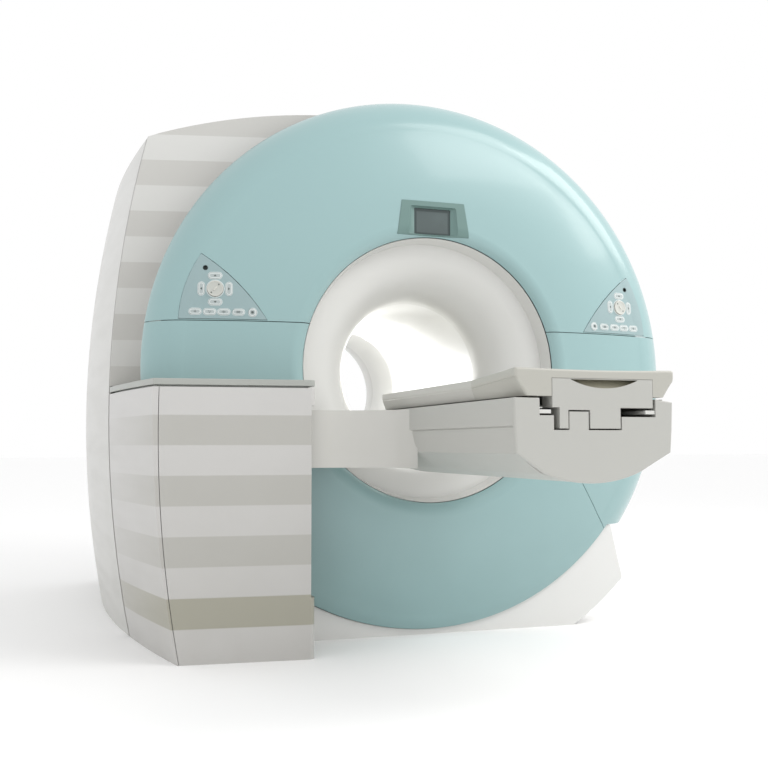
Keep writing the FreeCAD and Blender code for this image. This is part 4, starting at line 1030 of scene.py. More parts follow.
KEYS = (
    Key("up", Legend.UP, 858, 333, 24, 11), Key("down", Legend.DOWN, 858, 233, 24, 11),
    Key("in", Legend.IN, 808, 283, 11, 24), Key("out", Legend.OUT, 908, 283, 11, 24),
    Key("light", Legend.LIGHT, 930, 197, 22, 10.5), Key("fan", Legend.FAN, 878, 196, 22, 10.5),
    Key("talk", Legend.TALK, 827, 196, 22, 10.5), Key("home", Legend.HOME, 774, 196, 22, 10.5),
    Key("stop", Legend.STOP, 722, 196, 15, 15),
)


@dataclass
class ControlPanel:
    """A three-cornered panel with its dial, keys and socket. Both are made as the left one; the right is mirrored."""

    ring: RingFront
    side: Side
    foot: float = 170.0
    apex: Spot = (908.0, 417.0)
    outer: float = 990.0
    inner: float = 668.0
    dial_at: Spot = (858.0, 283.0)
    dial_r: float = 30.0
    socket_at: Spot = (893.0, 363.0)
    socket_r: float = 9.0
    lift: float = 1.5
    clearance: float = 0.6
    key_depth: float = 12.0
    key_proud: float = 4.0
    out: Vector = field(default_factory=lambda: Vector((-0.20223, -0.97706, 0.06670)).normalized())

    def __post_init__(self) -> None:
        """Sets the panel's own directions: along it, up it and out of it."""
        self.along = Vector((-self.out.y, self.out.x, 0)).normalized()
        self.up = self.out.cross(self.along)

    @property
    def suffix(self) -> str:
        """The ending of this side's names."""
        return "_" + self.side.name.lower()

    def outline(self, grow: float = 0.0, steps: int = 6) -> list[Spot]:
        """The panel's outline across and up, with two bowed sides, on its own side of the scanner."""
        outer = (self.outer + grow, self.foot - grow)
        inner = (self.inner - grow * 1.6, self.foot - grow)
        apex = (self.apex[0] - grow * 0.2, self.apex[1] + grow * 1.6)
        bow_out = ((outer[0] + apex[0]) / 2 + 16 + grow * 0.4, (outer[1] + apex[1]) / 2 + 6)
        bow_in = ((inner[0] + apex[0]) / 2 - 12 - grow * 0.7, (inner[1] + apex[1]) / 2 + 13 + grow * 0.7)
        spots = Arc(outer, bow_out, apex).points(steps) + Arc(apex, bow_in, inner).points(steps)[1:]
        return [(self.side.value * x, level) for x, level in spots]

    def _frame(self, x: float, level: float) -> Matrix:
        """The placing of a key's own space, in millimetres, on the left panel."""
        base = self.ring.on_face(-x, level)
        turn = Matrix((self.along, self.up, self.out)).transposed().to_4x4()
        return Matrix.Translation(base) @ turn @ Matrix.Scale(MM, 4)

    @staticmethod
    def _pill(half_w: float, half_h: float, grow: float = 0.0, steps: int = 10) -> list[Vector]:
        """An oval or round outline in a key's own space."""
        radius = min(half_w, half_h) + grow
        run_x, run_y = half_w - min(half_w, half_h), half_h - min(half_w, half_h)
        points = []
        for quarter, (way_x, way_y) in enumerate(((1, 1), (-1, 1), (-1, -1), (1, -1))):
            start = math.pi / 2 * quarter
            points += [Vector((x, y, 0)) for x, y in sweep(radius, start, start + math.pi / 2, steps,
                                                           (way_x * run_x, way_y * run_y))]
        kept = [points[0]]
        for point in points[1:]:
            if (point - kept[-1]).length > 0.05 and (point - points[0]).length > 0.05:
                kept.append(point)
        return kept

    def _settle(self, piece: Workpiece, x: float, level: float) -> Workpiece:
        """Places a piece made in a key's own space on this side's panel."""
        bmesh.ops.transform(piece.bm, matrix=self._frame(x, level), verts=piece.bm.verts)
        piece.orient()
        return piece.mirrored() if self.side is Side.RIGHT else piece

    def _panel(self, shop: Shop) -> None:
        """The panel's plate, with a hole for each key, laid on the ring's face."""
        base = self.ring.on_face(-self.dial_at[0], self.dial_at[1])
        left = ControlPanel(self.ring, Side.LEFT)
        flat = [self.ring.on_face(x, level) - base for x, level in left.outline(0.0, 14)]
        outline = [Vector((point.dot(self.along), point.dot(self.up), 0)) for point in flat]
        spots = [(key.x, key.level, key.half_w, key.half_h) for key in KEYS]
        spots += [(*self.dial_at, self.dial_r, self.dial_r), (*self.socket_at, self.socket_r, self.socket_r)]
        holes = []
        for x, level, half_w, half_h in spots:
            point = self.ring.on_face(-x, level) - base
            middle = Vector((point.dot(self.along), point.dot(self.up), 0))
            holes.append([middle + spot * MM for spot in self._pill(half_w, half_h, self.clearance)])
        panel = Workpiece()
        panel.plate(outline, holes, UPWARD)
        for step in range(-10, 20):
            panel.slice(Vector((step * 0.0165, 0, 0)), ACROSS)
            panel.slice(Vector((0, step * 0.0165, 0)), INWARD)
        for vert in panel.bm.verts:
            point = base + self.along * vert.co.x + self.up * vert.co.y
            for _ in range(6):
                wanted = self.ring.depth(math.hypot(across(point), level_of(point))) - self.lift
                point = point + self.out * ((depth_of(point) - wanted) * MM / -self.out.y)
            vert.co = point
        panel.orient(inside=place(0, 700, 0))
        if self.side is Side.RIGHT:
            panel.mirrored()
        name = "control_panel" + self.suffix
        panel.finish(name, shop, ["aqua panel paint"], "panel_plastic", 6.0, 0.7)

    def _key(self, shop: Shop, key: Key) -> None:
        """One key: a rounded bar with a shallow dish and its printed sign."""
        piece = Workpiece()
        foot = piece.face([spot + Vector((0, 0, -self.key_depth)) for spot in self._pill(key.half_w, key.half_h)])
        top = piece.run([foot], Vector((0, 0, self.key_depth + self.key_proud)))
        piece.round_rim(top, 2.6, 4)
        flat = [face for face in piece.bm.faces if face.calc_center_median().z > self.key_proud - 0.01]
        lid = max(flat, key=lambda face: face.calc_area())
        bmesh.ops.inset_region(piece.bm, faces=[lid], thickness=1.6, depth=-0.5, use_even_offset=True)
        lid.material_index = 2
        surface = self.key_proud - 0.5
        for outline in self._sign(key):
            printed = piece.face([Vector((x, y, surface - 0.2)) for x, y in outline])
            printed.normal_update()
            piece.number(piece.run([printed], Vector((0, 0, 0.32))), 1)
        self._settle(piece, key.x, key.level)
        name = "key_" + key.name + self.suffix
        finish = "stop key plastic" if key.legend is Legend.STOP else "key plastic"
        slot = "key_red" if key.legend is Legend.STOP else "key_plastic"
        piece.finish(name, shop, [finish, "legend print", "key lens"], slot, body=name)

    @staticmethod
    def _sign(key: Key) -> list[list[Spot]]:
        """The outlines of a key's sign, in its own space."""
        arrow = [(-5.5, -3.0), (5.5, -3.0), (0.0, 4.0)]
        ray = [(-0.8, 3.6), (0.8, 3.6), (0.8, 5.6), (-0.8, 5.6)]
        blade = [(0.6, 0.4), (5.2, 0.2), (6.0, 2.2), (2.6, 3.2)]
        quarter, third = math.pi / 2, FULL_TURN / 3
        signs = {
            Legend.UP: [arrow],
            Legend.DOWN: [[(x, -y) for x, y in arrow]],
            Legend.IN: [[(y, x) for x, y in arrow]],
            Legend.OUT: [[(-y, x) for x, y in arrow]],
            Legend.LIGHT: [sweep(2.6, 0.0, FULL_TURN, 12)[:-1],
                           *(turned(ray, turn) for turn in (quarter, -quarter, 0.0, math.pi))],
            Legend.FAN: [turned(blade, turn) for turn in (0.0, third, 2 * third)],
            Legend.TALK: [[(x - 0.8, -h), (x + 0.8, -h), (x + 0.8, h), (x - 0.8, h)]
                          for x, h in ((-6.0, 1.6), (-3.0, 3.2), (0.0, 5.0), (3.0, 3.2), (6.0, 1.6))],
            Legend.HOME: [[(-7.0, y - 0.9), (7.0, y - 0.9), (7.0, y + 0.9), (-7.0, y + 0.9)]
                          for y in (-3.2, 0.0, 3.2)],
            Legend.STOP: [[(-4.6, -4.6), (4.6, -4.6), (4.6, 4.6), (-4.6, 4.6)]],
        }
        return signs[key.legend]

    def _dial(self, shop: Shop) -> None:
        """The dial: a scalloped knob with a finger dish, a raised bar across it and two marks."""
        low, high, radius = -self.key_depth - 2, 9.0, self.dial_r
        rows = []
        for inset, height, rib in ((0.0, low, 0.35), (0.0, high - 1.8, 0.35), (0.5, high - 0.6, 0.2),
                                   (1.6, high, 0.0), (4.0, high, 0.0), (5.2, high - 1.0, 0.0),
                                   (12.0, high - 1.6, 0.0), (20.0, high - 1.8, 0.0)):
            rows.append([Vector((*polar(radius - inset - rib + rib * math.cos(turn * 36), turn), height))
                         for turn in spread(0.0, FULL_TURN, 144)[:-1]])
        piece = Workpiece().rows(rows, closed=True)
        for face in piece.bm.faces:
            middle = face.calc_center_median()
            face.material_index = 2 if middle.z > 0 and math.hypot(middle.x, middle.y) < radius - 4.2 else 0
        piece.face(rows[0])
        piece.face(rows[-1]).material_index = 2
        bmesh.ops.remove_doubles(piece.bm, verts=piece.bm.verts, dist=1e-4)
        turn = math.radians(48)
        bar = turned([(spot.x, spot.y) for spot in self._pill(9.5, 3.6, steps=6)], turn)
        ridge = piece.run([piece.face([Vector((x, y, high - 2.6)) for x, y in bar])], Vector((0, 0, 3.0)))
        piece.round_rim(ridge, 1.6, 3)
        for reach in (20.4, -20.4):
            dot = sweep(2.6, 0.0, FULL_TURN, 16, polar(reach, turn))[:-1]
            piece.number(piece.run([piece.face([Vector((x, y, high - 2.0)) for x, y in dot])],
                                   Vector((0, 0, 1.5))), 1)
        self._settle(piece, *self.dial_at)
        name = "dial" + self.suffix
        piece.finish(name, shop, ["dial plastic", "legend print", "dial face"], "dial_plastic", body=name)

    def _bezels(self, shop: Shop) -> None:
        """The raised pale rims round the keys and the dial."""
        piece = Workpiece()
        spots = [(key.x, key.level, key.half_w, key.half_h, 3.4) for key in KEYS]
        spots.append((*self.dial_at, self.dial_r, self.dial_r, 4.6))
        for x, level, half_w, half_h, wide in spots:
            section = ((0.7, -1.0), (0.7, 2.0), (1.2, 2.6), (wide - 0.9, 2.6), (wide, 1.4), (wide, -1.0), (0.7, -1.0))
            placing = self._frame(x, level)
            rows = [[placing @ (spot + Vector((0, 0, rise))) for spot in self._pill(half_w, half_h, grow)]
                    for grow, rise in section]
            piece.rows(rows, closed=True)
        piece.orient()
        if self.side is Side.RIGHT:
            piece.mirrored()
        piece.finish("key_bezels" + self.suffix, shop, ["bezel plastic"], "panel_plastic", extra=True)

    def _socket(self, shop: Shop) -> None:
        """The dark round socket above the dial, a thin collar round a deep well."""
        piece = Workpiece()
        section = [(9.0, -8.0), (9.0, 2.2), (8.4, 2.8), (7.0, 2.8), (6.4, 2.2), (6.0, -6.0), (0.01, -6.0)]
        edges = piece.chain([Vector((radius, 0, height)) for radius, height in section])
        piece.spin(edges, Vector((0, 0, 0)), UPWARD, FULL_TURN, 40)
        self._settle(piece, *self.socket_at)
        name = "panel_socket" + self.suffix
        piece.finish(name, shop, ["black socket plastic"], "panel_plastic", extra=True)

    def build(self, shop: Shop) -> None:
        """Builds the panel, its keys, its dial and its socket."""
        self._panel(shop)
        for key in KEYS:
            self._key(shop, key)
        self._dial(shop)
        self._bezels(shop)
        self._socket(shop)


# ---------------------------------------------------------------- bore


@dataclass
class BoreTunnel:
    """The white tunnel: the front funnel, the liner, the rear funnel and the bed inside."""

    mouth_r: float = 525.0
    bore_r: float = 300.0
    throat: float = 302.0
    rear_mouth_r: float = 455.0
    rear_mouth: float = 2122.0
    rear_throat: float = 1750.0
    wall: float = 6.0
    steps: int = 28

    def build(self, shop: Shop) -> None:
        """Builds the three linings and the bed."""
        quarter = [math.pi / 2 * step / self.steps for step in range(self.steps + 1)]
        shoulder = self.mouth_r - 14
        inside = [(self.mouth_r, 4.0), (self.mouth_r - 1.5, 3.0), (self.mouth_r - 3.0, 4.5)]
        inside += [(self.bore_r + (shoulder - self.bore_r) * (1 - math.sin(t)),
                    70 + (self.throat - 70) * (1 - math.cos(t))) for t in quarter]
        outside = [(306.0, 302.0), (410.0, 104.0), (529.0, 78.0), (526.5, 7.0)]
        funnel = Workpiece().turn(inside + outside, closed=True).orient()
        funnel.finish("funnel_front", shop, ["funnel gelcoat"], "white_shell")
        end = self.rear_throat - 1
        tube = [(self.bore_r, 303.5), (self.bore_r, end), (306.0, end), (306.0, 303.5)]
        liner = Workpiece().turn(tube, closed=True).orient()
        liner.finish("bore_liner", shop, ["liner laminate"], "white_shell", 0.0, 0.4)
        rise, run = self.rear_mouth_r - self.bore_r, self.rear_mouth - self.rear_throat
        inside = [(self.rear_mouth_r - rise * math.sin(t), self.rear_throat + run * math.cos(t)) for t in quarter]
        outside = [(radius + self.wall * math.sin(t), depth - self.wall * math.cos(t))
                   for t, (radius, depth) in list(zip(quarter, inside))[::-1]]
        rear = Workpiece().turn(inside + outside, closed=True).orient()
        rear.finish("funnel_rear", shop, ["funnel gelcoat"], "white_shell", 0.0, 0.8)
        dress(shop, [("bore_bridge", "gantry", "couch laminate", "table_plastic", 1.6)])


# ---------------------------------------------------------------- housing


@dataclass
class Housing:
    """The tall bowed body at the left, the drum at the right and the back."""

    plan_r: float = 6200.0
    plan_depth: float = 1270.0
    hub_x: float = 4922.0
    side_r: float = 4717.0
    side_level: float = -145.0
    roof_r: float = 2200.0
    roof_x: float = -400.0
    drum_r: float = 1054.0
    front_x: float = -1203.0
    front_depth: float = 390.0
    front_turn: float = math.tan(math.radians(12))
    body_end: float = 2096.0
    rear_start: float = 2099.0
    rear_depth: float = 2110.0
    wall: float = 8.0
    middle_x: float = -6.0
    foot: float = -634.0
    rear_foot: float = -656.4
    rear_hole_r: float = 457.0

    def side_x(self, depth: float, level: float, inset: float = 0.0) -> float:
        """How far across the bowed side is at a depth and level."""
        arc = self.side_r - inset
        drop = arc - math.sqrt(arc ** 2 - (level - self.side_level) ** 2)
        radius = self.plan_r - inset - drop
        return self.hub_x - math.sqrt(radius ** 2 - (depth - self.plan_depth) ** 2)

    def roof_level(self, x: float, inset: float = 0.0) -> float:
        """The roof's level at a place across."""
        if x > self.roof_x:
            return self.drum_r - inset
        arc = self.roof_r - inset
        return self.drum_r - inset - (arc - math.sqrt(arc ** 2 - (x - self.roof_x) ** 2))

    def plane(self, x: float, setback: float = 0.0) -> float:
        """The depth of the tower's front plane at a place across."""
        return self.front_depth + setback - (x - self.front_x) * self.front_turn

    def corner(self, depth: float, inset: float = 0.0) -> Spot:
        """Where the bowed side meets the roof at a depth."""
        level = 980.0
        for _ in range(12):
            level = self.roof_level(self.side_x(depth, level, inset))
        return self.side_x(depth, level, inset), level

    def front_edge(self, level: float, setback: float) -> Spot:
        """Where the bowed side meets the front plane at a level: across and depth."""
        depth = self.front_depth
        for _ in range(12):
            depth = self.plane(self.side_x(depth, level), setback)
        return self.side_x(depth, level), depth

    def _side(self, shop: Shop) -> None:
        """The bowed side wall, with the shoulder that turns onto the roof."""
        rows = []
        for share in spread(0.0, 1.0, 22):
            row = []
            crown = 985.0
            for _ in range(8):
                start = self.front_edge(crown, 15.0)[1]
                crown = self.corner(lerp(start, self.body_end, share))[1]
            for level in spread(FLOOR, crown, 26):
                depth = lerp(self.front_edge(level, 15.0)[1], self.body_end, share)
                row.append(place(self.side_x(depth, level), depth, level))
            depth = depth_of(row[-1])
            for reach in (10.0, 20.0, 34.0):
                x = self.side_x(depth, crown, 0.0) + reach * 1.06
                row.append(place(x, depth, self.roof_level(x)))
            rows.append(row)
        piece = Workpiece().rows(rows)
        piece.orient(inside=place(0, 1200, 0))
        piece.soften(16.0, 7, 30)
        piece.finish("tower_side_cover", shop, ["white cover paint"], "white_shell", self.wall, 1.4)

    def _roof(self, shop: Shop) -> None:
        """The bowed roof between the side's shoulder and the drum."""
        rows = []
        for share in spread(0.0, 1.0, 18):
            left = self.corner(lerp(430.0, self.body_end, share))[0] + 40.0
            row = []
            for x in spread(left, self.middle_x, 24):
                depth = lerp(self.plane(x, 15.0), self.body_end, share)
                row.append(place(x, depth, self.roof_level(x)))
            rows.append(row)
        piece = Workpiece().rows(rows)
        piece.orient(inside=place(-500, 1200, 0))
        piece.finish("roof_cover", shop, ["white cover paint"], "white_shell", self.wall, 1.4)

    def _front(self, shop: Shop) -> None:
        """The tower's front plate with its round cut-out and the collar that stands out of it."""
        foot, cut_r = -66.0, self.drum_r - self.wall
        crown = self.corner(400.0)[1]
        outline = [(self.front_edge(level, 0.0)[0], level) for level in spread(foot, crown, 24)]
        outline += [(x, self.roof_level(x)) for x in spread(outline[-1][0], self.middle_x, 24)[1:]]
        outline += sweep(cut_r, math.acos(self.middle_x / cut_r), math.pi - math.asin(foot / cut_r), 60)
        piece = Workpiece()
        face = piece.face([place(x, self.plane(x), level) for x, level in outline])
        piece.run([face], Vector((0, 12 * MM, 0)))
        piece.orient().soften(1.6, 3, 30)
        collar = Workpiece()
        edges = collar.chain([place(-radius, depth, 0) for radius, depth in
                              ((self.drum_r, 181), (self.drum_r, 420), (cut_r, 420), (cut_r, 181))], True)
        verts = list({vert for edge in edges for vert in edge.verts})
        bmesh.ops.rotate(collar.bm, cent=place(0, 0, 0), verts=verts,
                         matrix=Matrix.Rotation(-math.asin(-foot / self.drum_r), 3, "Y"))
        reach = math.pi / 2 + math.asin(-foot / self.drum_r) - 0.006
        collar.spin(edges, place(0, 0, 0), INWARD, reach, 120)
        normal = Vector((self.front_turn, 1, 0)).normalized()
        seat = place(self.front_x, self.front_depth + 6, 0)
        collar.slice(seat, normal)
        collar.drop(lambda m: (m - seat).dot(normal) > 0)
        bmesh.ops.holes_fill(collar.bm, edges=[edge for edge in collar.bm.edges if edge.is_boundary], sides=0)
        collar.orient().soften(1.2, 2, 50)
        mesh = bpy.data.meshes.new("collar")
        collar.bm.to_mesh(mesh)
        piece.bm.from_mesh(mesh)
        bpy.data.meshes.remove(mesh)
        collar.bm.free()
        piece.finish("tower_front_cover", shop, ["banded tower paint"], "white_shell")

    def _drum(self, shop: Shop) -> None:
        """The round cover at the right, from the ring to the back."""
        piece = Workpiece().turn([(self.drum_r, 181.0), (self.drum_r, 900.0), (self.drum_r, self.body_end)])
        piece.slice(place(-3, 0, 0), ACROSS)
        piece.drop(lambda m: across(m) < -3)
        piece.cut_level(self.foot, True)
        piece.orient(inside=place(0, 1200, 0))
        piece.finish("drum_cover", shop, ["white cover paint"], "white_shell", self.wall, 1.4)

    def _rear(self, shop: Shop) -> None:
        """The flat back with the collar round its mouth, and the caps over its screws."""
        depth = self.rear_start
        crown = self.corner(self.rear_depth)[1]
        outline = [(self.side_x(self.rear_depth, level), level) for level in spread(FLOOR, crown, 24)]
        outline += [(x, self.roof_level(x)) for x in spread(outline[-1][0], 0.0, 20)[1:]]
        outline += sweep(self.drum_r, math.pi / 2, math.asin(self.rear_foot / self.drum_r), 60)[1:]
        outline += [(872.0, -852.0), (880.0, -905.0), (690.0, FLOOR)]
        hole = sweep(self.rear_hole_r, 0.0, FULL_TURN, 120)[:-1]
        piece = Workpiece()
        faces = piece.plate(upright(outline, depth), [upright(hole, depth)], Vector((0, -1, 0)))
        piece.run(faces, Vector((0, (self.rear_depth - depth) * MM, 0)))
        piece.orient().soften(1.8, 3, 40)
        swell = Arc((462.0, 2124.0), (525.0, 2128.6), (685.0, 2117.0)).points(10)
        piece.turn([(458.0, 2102.0), (458.0, 2122.0), *swell, (755.0, 2109.0), (755.0, 2102.0)], closed=True,
                   steps=160)
        piece.orient()
        piece.finish("rear_cover", shop, ["white cover paint"], "white_shell")
        caps = Workpiece()
        spots = [(-1150, 860), (-1190, 0), (-1150, -900), (0, 1010), (715, 715), (1005, 0), (0, -985), (760, -880),
                 (-600, 960), (-600, -985)]
        for x, level in spots:
            section = [(9.0, 2110.0), (9.0, 2111.2), (7.6, 2112.6), (4.0, 2113.4), (0.01, 2113.6)]
            edges = caps.chain([place(x + radius, cap_depth, level) for radius, cap_depth in section])
            caps.spin(edges, place(x, 0, level), INWARD, FULL_TURN, 24)
        caps.orient()
        caps.finish("rear_screw_caps", shop, ["white cover paint"], "white_shell", extra=True)

    def build(self, shop: Shop) -> None:
        """Builds the covers of the body, the drum and the back."""
        self._side(shop)
        self._roof(shop)
        self._front(shop)
        self._drum(shop)
        self._rear(shop)


@dataclass
class Plinth:
    """The white base under the ring, bulged on an arc about the bore at its right end."""

    start: float = 60.0
    stop: float = 2096.0
    left_x: float = -535.0
    arc_r: float = 1228.0
    corner: Spot = (876.0, -852.0)
    top_x: float = 824.0
    top_level: float = -637.0
    disc_r: float = 1025.0
    wall: float = 8.0

    def build(self, shop: Shop) -> None:
        """Builds the plinth's front and its right side in one skin."""
        foot_x = math.sqrt(self.arc_r ** 2 - FLOOR ** 2)
        bulge = sweep(self.arc_r, math.atan2(FLOOR, foot_x), math.asin(-878.0 / self.arc_r), 18)
        cx, cl = self.corner
        knee = Arc(bulge[-1], (cx - 4.5, (cl + bulge[-1][1]) / 2 - 2), self.corner).points(5)[1:]
        side = bulge + knee + [(self.top_x, self.top_level)]
        disc_x = math.sqrt(self.disc_r ** 2 - self.top_level ** 2)
        start, stop = math.atan2(self.top_level, disc_x), -math.acos(self.left_x / self.disc_r)
        crescent = sweep(self.disc_r, start, stop, 90)
        piece = Workpiece()
        front = piece.face(upright(side + crescent + [(self.left_x, FLOOR)], self.start))
        rim = [edge for edge in front.edges
               if all(across(v.co) > foot_x - 1 and math.hypot(across(v.co), level_of(v.co)) > self.disc_r - 0.5
                      for v in edge.verts)]
        made = bmesh.ops.extrude_edge_only(piece.bm, edges=rim)["geom"]
        bmesh.ops.translate(piece.bm, vec=Vector((0, (self.stop - self.start) * MM, 0)),
                            verts=[item for item in made if isinstance(item, BMVert)])
        bmesh.ops.triangulate(piece.bm, faces=[face for face in piece.bm.faces if len(face.verts) > 4])
        piece.orient(inside=place(0, 1000, -400))
        piece.soften(4.0, 3, 50)
        piece.finish("base_plinth", shop, ["plinth paint"], "white_shell", self.wall, 1.2)


# ---------------------------------------------------------------- pedestal and lift


@dataclass
class Pedestal:
    """The pedestal in front of the ring at the left: banded cover, cap and the seal of the arm's slot."""

    housing: Housing
    right_x: float = -538.0
    front: float = -258.0
    turn: float = math.tan(math.radians(5.3))
    corner_r: float = 22.0
    cap_top: float = -69.0
    cap_foot: float = -91.0
    cover_top: float = -98.0
    back: float = 178.0
    slot_x: float = -554.0
    slot_back: float = -34.0
    slot_top: float = -160.0
    slot_foot: float = -833.0
    wall: float = 8.0

    def _front_depth(self, x: float) -> float:
        """The depth of the front face at a place across."""
        return self.front + (self.right_x - x) * self.turn

    def _left_corner(self, level: float) -> Spot:
        """Where the front face meets the bowed side at a level: across and depth."""
        depth = self.front
        for _ in range(12):
            depth = self._front_depth(self.housing.side_x(depth, level))
        return self.housing.side_x(depth, level), depth

    @staticmethod
    def _seam(level: float) -> float:
        """How far right of the left corner the front's seam runs at a level."""
        return lerp(5.0, 20.0, (level - FLOOR) / 950)

    def _line(self, level: float) -> list[Spot]:
        """The cover's plan line at a level, from the back along the bowed side and the front to the right side."""
        x0, depth0 = self.housing.front_edge(level, -3.0)
        x1, depth1 = self._left_corner(level)
        line = [(self.housing.side_x(depth, level), depth) for depth in spread(depth0, depth1, 12)]
        end_x = self.right_x - self.corner_r
        seam = x1 + self._seam(level)
        line += [(x, self._front_depth(x)) for x in [seam - 1.0, seam + 1.0, *spread(seam, end_x, 10)[1:]]]
        end = self._front_depth(end_x)
        line += sweep(self.corner_r, -math.pi / 2, 0.0, 6, (end_x, end + self.corner_r))[1:]
        line += [(self.right_x, depth) for depth in spread(line[-1][1], self.back, 8)[1:]]
        return line

    def _ledge(self, piece: Workpiece, level: float) -> BMVert:
        """Closes an end of the slot's recess with a level face, and gives the vertex of its inner corner."""
        rim = piece.open_edges(lambda spot: abs(level_of(spot) - level) < 0.05 and across(spot) > self.slot_x - 0.5
                               and depth_of(spot) < self.slot_back + 0.5)
        verts = list({vert for edge in rim for vert in edge.verts})
        first = min(verts, key=lambda v: v.co.x)
        last = max(verts, key=lambda v: v.co.y)
        inner = piece.bm.verts.new(place(self.slot_x, self.slot_back, level))
        closing = [piece.bm.edges.new((first, inner)), piece.bm.edges.new((inner, last))]
        bmesh.ops.edgenet_fill(piece.bm, edges=rim + closing)
        return inner

    def _cover(self, shop: Shop) -> None:
        """The banded cover with the recess of the arm's slot."""
        rows = [lying(self._line(level), level) for level in spread(FLOOR, self.cover_top, 24)]
        piece = Workpiece().rows(rows)
        in_recess = (lambda m: self.slot_foot - 60 < level_of(m) < self.slot_top + 60
                     and across(m) > self.slot_x - 60 and depth_of(m) < 60)
        piece.slice(place(self.slot_x, 0, 0), ACROSS, in_recess)
        piece.slice(place(0, self.slot_back, 0), INWARD, in_recess)
        for level in (self.slot_top, self.slot_foot):
            piece.slice(place(0, 0, level), UPWARD, in_recess)
        piece.drop(lambda m: across(m) > self.slot_x and depth_of(m) < self.slot_back
                   and self.slot_foot < level_of(m) < self.slot_top)
        piece.drop(lambda m: depth_of(m) < self.front + 70
                   and abs(across(m) - self._left_corner(level_of(m))[0] - self._seam(level_of(m))) < 0.6)
        upper, lower = self._ledge(piece, self.slot_top), self._ledge(piece, self.slot_foot)
        wall = piece.open_edges(lambda spot: abs(depth_of(spot) - self.slot_back) < 0.05
                                and across(spot) > self.slot_x - 0.5)
        closing = piece.bm.edges.new((upper, lower))
        bmesh.ops.edgenet_fill(piece.bm, edges=wall + [closing])
        piece.orient(inside=place(-800, 50, -500))
        piece.finish("pedestal_cover", shop, ["banded pedestal paint"], "white_shell", self.wall, 2.0)

    def _cap(self, shop: Shop) -> None:
        """The cap over the pedestal, above its dark groove."""
        line = self._line(-80.0)[1:]
        line += [(-1055.0, self.back), (-1055.0, self.housing.plane(-1055.0, -3.0))]
        line.append(self._line(-80.0)[0])
        piece = Workpiece().column(line, self.cap_foot, self.cap_top)
        piece.orient().soften(2.6, 3, 40)
        neck = [between(spot, (-880.0, 40.0), 0.06) for spot in line]
        piece.column(neck, self.cap_foot - 25, self.cap_foot + 5)
        piece.orient()
        piece.finish("pedestal_cap", shop, ["cap paint"], "white_shell")

    def _seal(self, shop: Shop) -> None:
        """The frame of the slot's seal, with bristles along both of its long sides."""
        dress(shop, [("slot_seal", "gantry", "black socket plastic", "seal_rubber", 0.8)])
        brush = Workpiece()
        for depth0, depth1 in ((-204.0, -200.6), (-51.4, -48.0)):
            for level in spread(-822.0, -172.0, 218):
                mid = place(-562.0, (depth0 + depth1) / 2, level)
                size = Vector((2.4, depth1 - depth0, 2.1)) * MM
                made = bmesh.ops.create_cube(brush.bm, size=1.0)["verts"]
                bmesh.ops.scale(brush.bm, vec=size, verts=made)
                bmesh.ops.translate(brush.bm, vec=mid, verts=made)
        brush.finish("slot_bristles", shop, ["seal bristle"], "seal_rubber", extra=True)

    def build(self, shop: Shop) -> None:
        """Builds the cover, the cap and the seal."""
        self._cover(shop)
        self._cap(shop)
        self._seal(shop)


@dataclass
class LiftGear:
    """The swept arm cover, and the lift's steelwork inside the pedestal."""

    start_x: float = -578.0
    front: float = -200.0
    back: float = -52.0
    sweep_x: float = -477.0
    sweep_r: float = 250.0
    top: float = -174.0
    foot: float = -381.0
    screw_x: float = -800.0
    screw_depth: float = -30.0
    screw_r: float = 20.0
    screw_foot: float = -895.0
    screw_top: float = -131.0
    lead: float = 20.0

    def _arm(self, shop: Shop) -> None:
        """The arm's cover: straight at the pedestal, then swept forward into the table's side."""
        line = [(self.start_x, self.front)]
        line += sweep(self.sweep_r, math.pi / 2, 0.0, 24, (self.sweep_x, self.front - self.sweep_r))
        line += [(self.sweep_x + self.sweep_r, self.back), (self.start_x, self.back)]
        piece = Workpiece().column(line, self.foot, self.top)
        piece.orient().soften(7.0, 4, 40)
        # The arm takes a paint lighter than the table: painted light.
        piece.finish("arm_cover", shop, ["arm paint with painted light"], "table_plastic", body="lift_table")

    def _screw(self, shop: Shop) -> None:
        """The lift spindle with its thread."""
        piece = Workpiece()
        core = self.screw_r - 3.0
        section = [(core, 0.0), (core, 7.0), (self.screw_r, 9.5), (self.screw_r, 17.5), (core, 20.0)]
        turns = int((self.screw_top - self.screw_foot - 60) / self.lead)
        edges = piece.chain([place(self.screw_x + radius, self.screw_depth, self.screw_foot + 20 + rise)
                             for radius, rise in section])
        steps = 24
        piece.spin(edges, place(self.screw_x, self.screw_depth, 0), UPWARD, FULL_TURN * turns,
                   steps * turns, self.lead * MM / steps)
        radius = (core + 0.4) * MM
        for low, high in ((self.screw_foot, self.screw_foot + 42), (self.screw_top - 46, self.screw_top)):
            made = bmesh.ops.create_cone(piece.bm, cap_ends=True, segments=48, radius1=radius, radius2=radius,
                                         depth=(high - low) * MM)["verts"]
            bmesh.ops.translate(piece.bm, vec=place(self.screw_x, self.screw_depth, (low + high) / 2), verts=made)
        piece.orient()
        piece.finish("lift_spindle", shop, ["ground steel"], "bright_steel", body="spindle")

    def build(self, shop: Shop) -> None:
        """Builds the arm's cover, the spindle and the steelwork."""
        self._arm(shop)
        self._screw(shop)
        dress(shop, [("lift_column", "gantry", "painted steel", "painted_steel", 1.5),
                     ("lift_carriage", "lift_table", "machined aluminium", "machined_aluminium", 1.2),
                     ("support_arm", "lift_table", "painted steel", "painted_steel", 2.0),
                     ("lift_motor", "gantry", "motor enamel", "motor_paint", 3.0)])


# ---------------------------------------------------------------- table


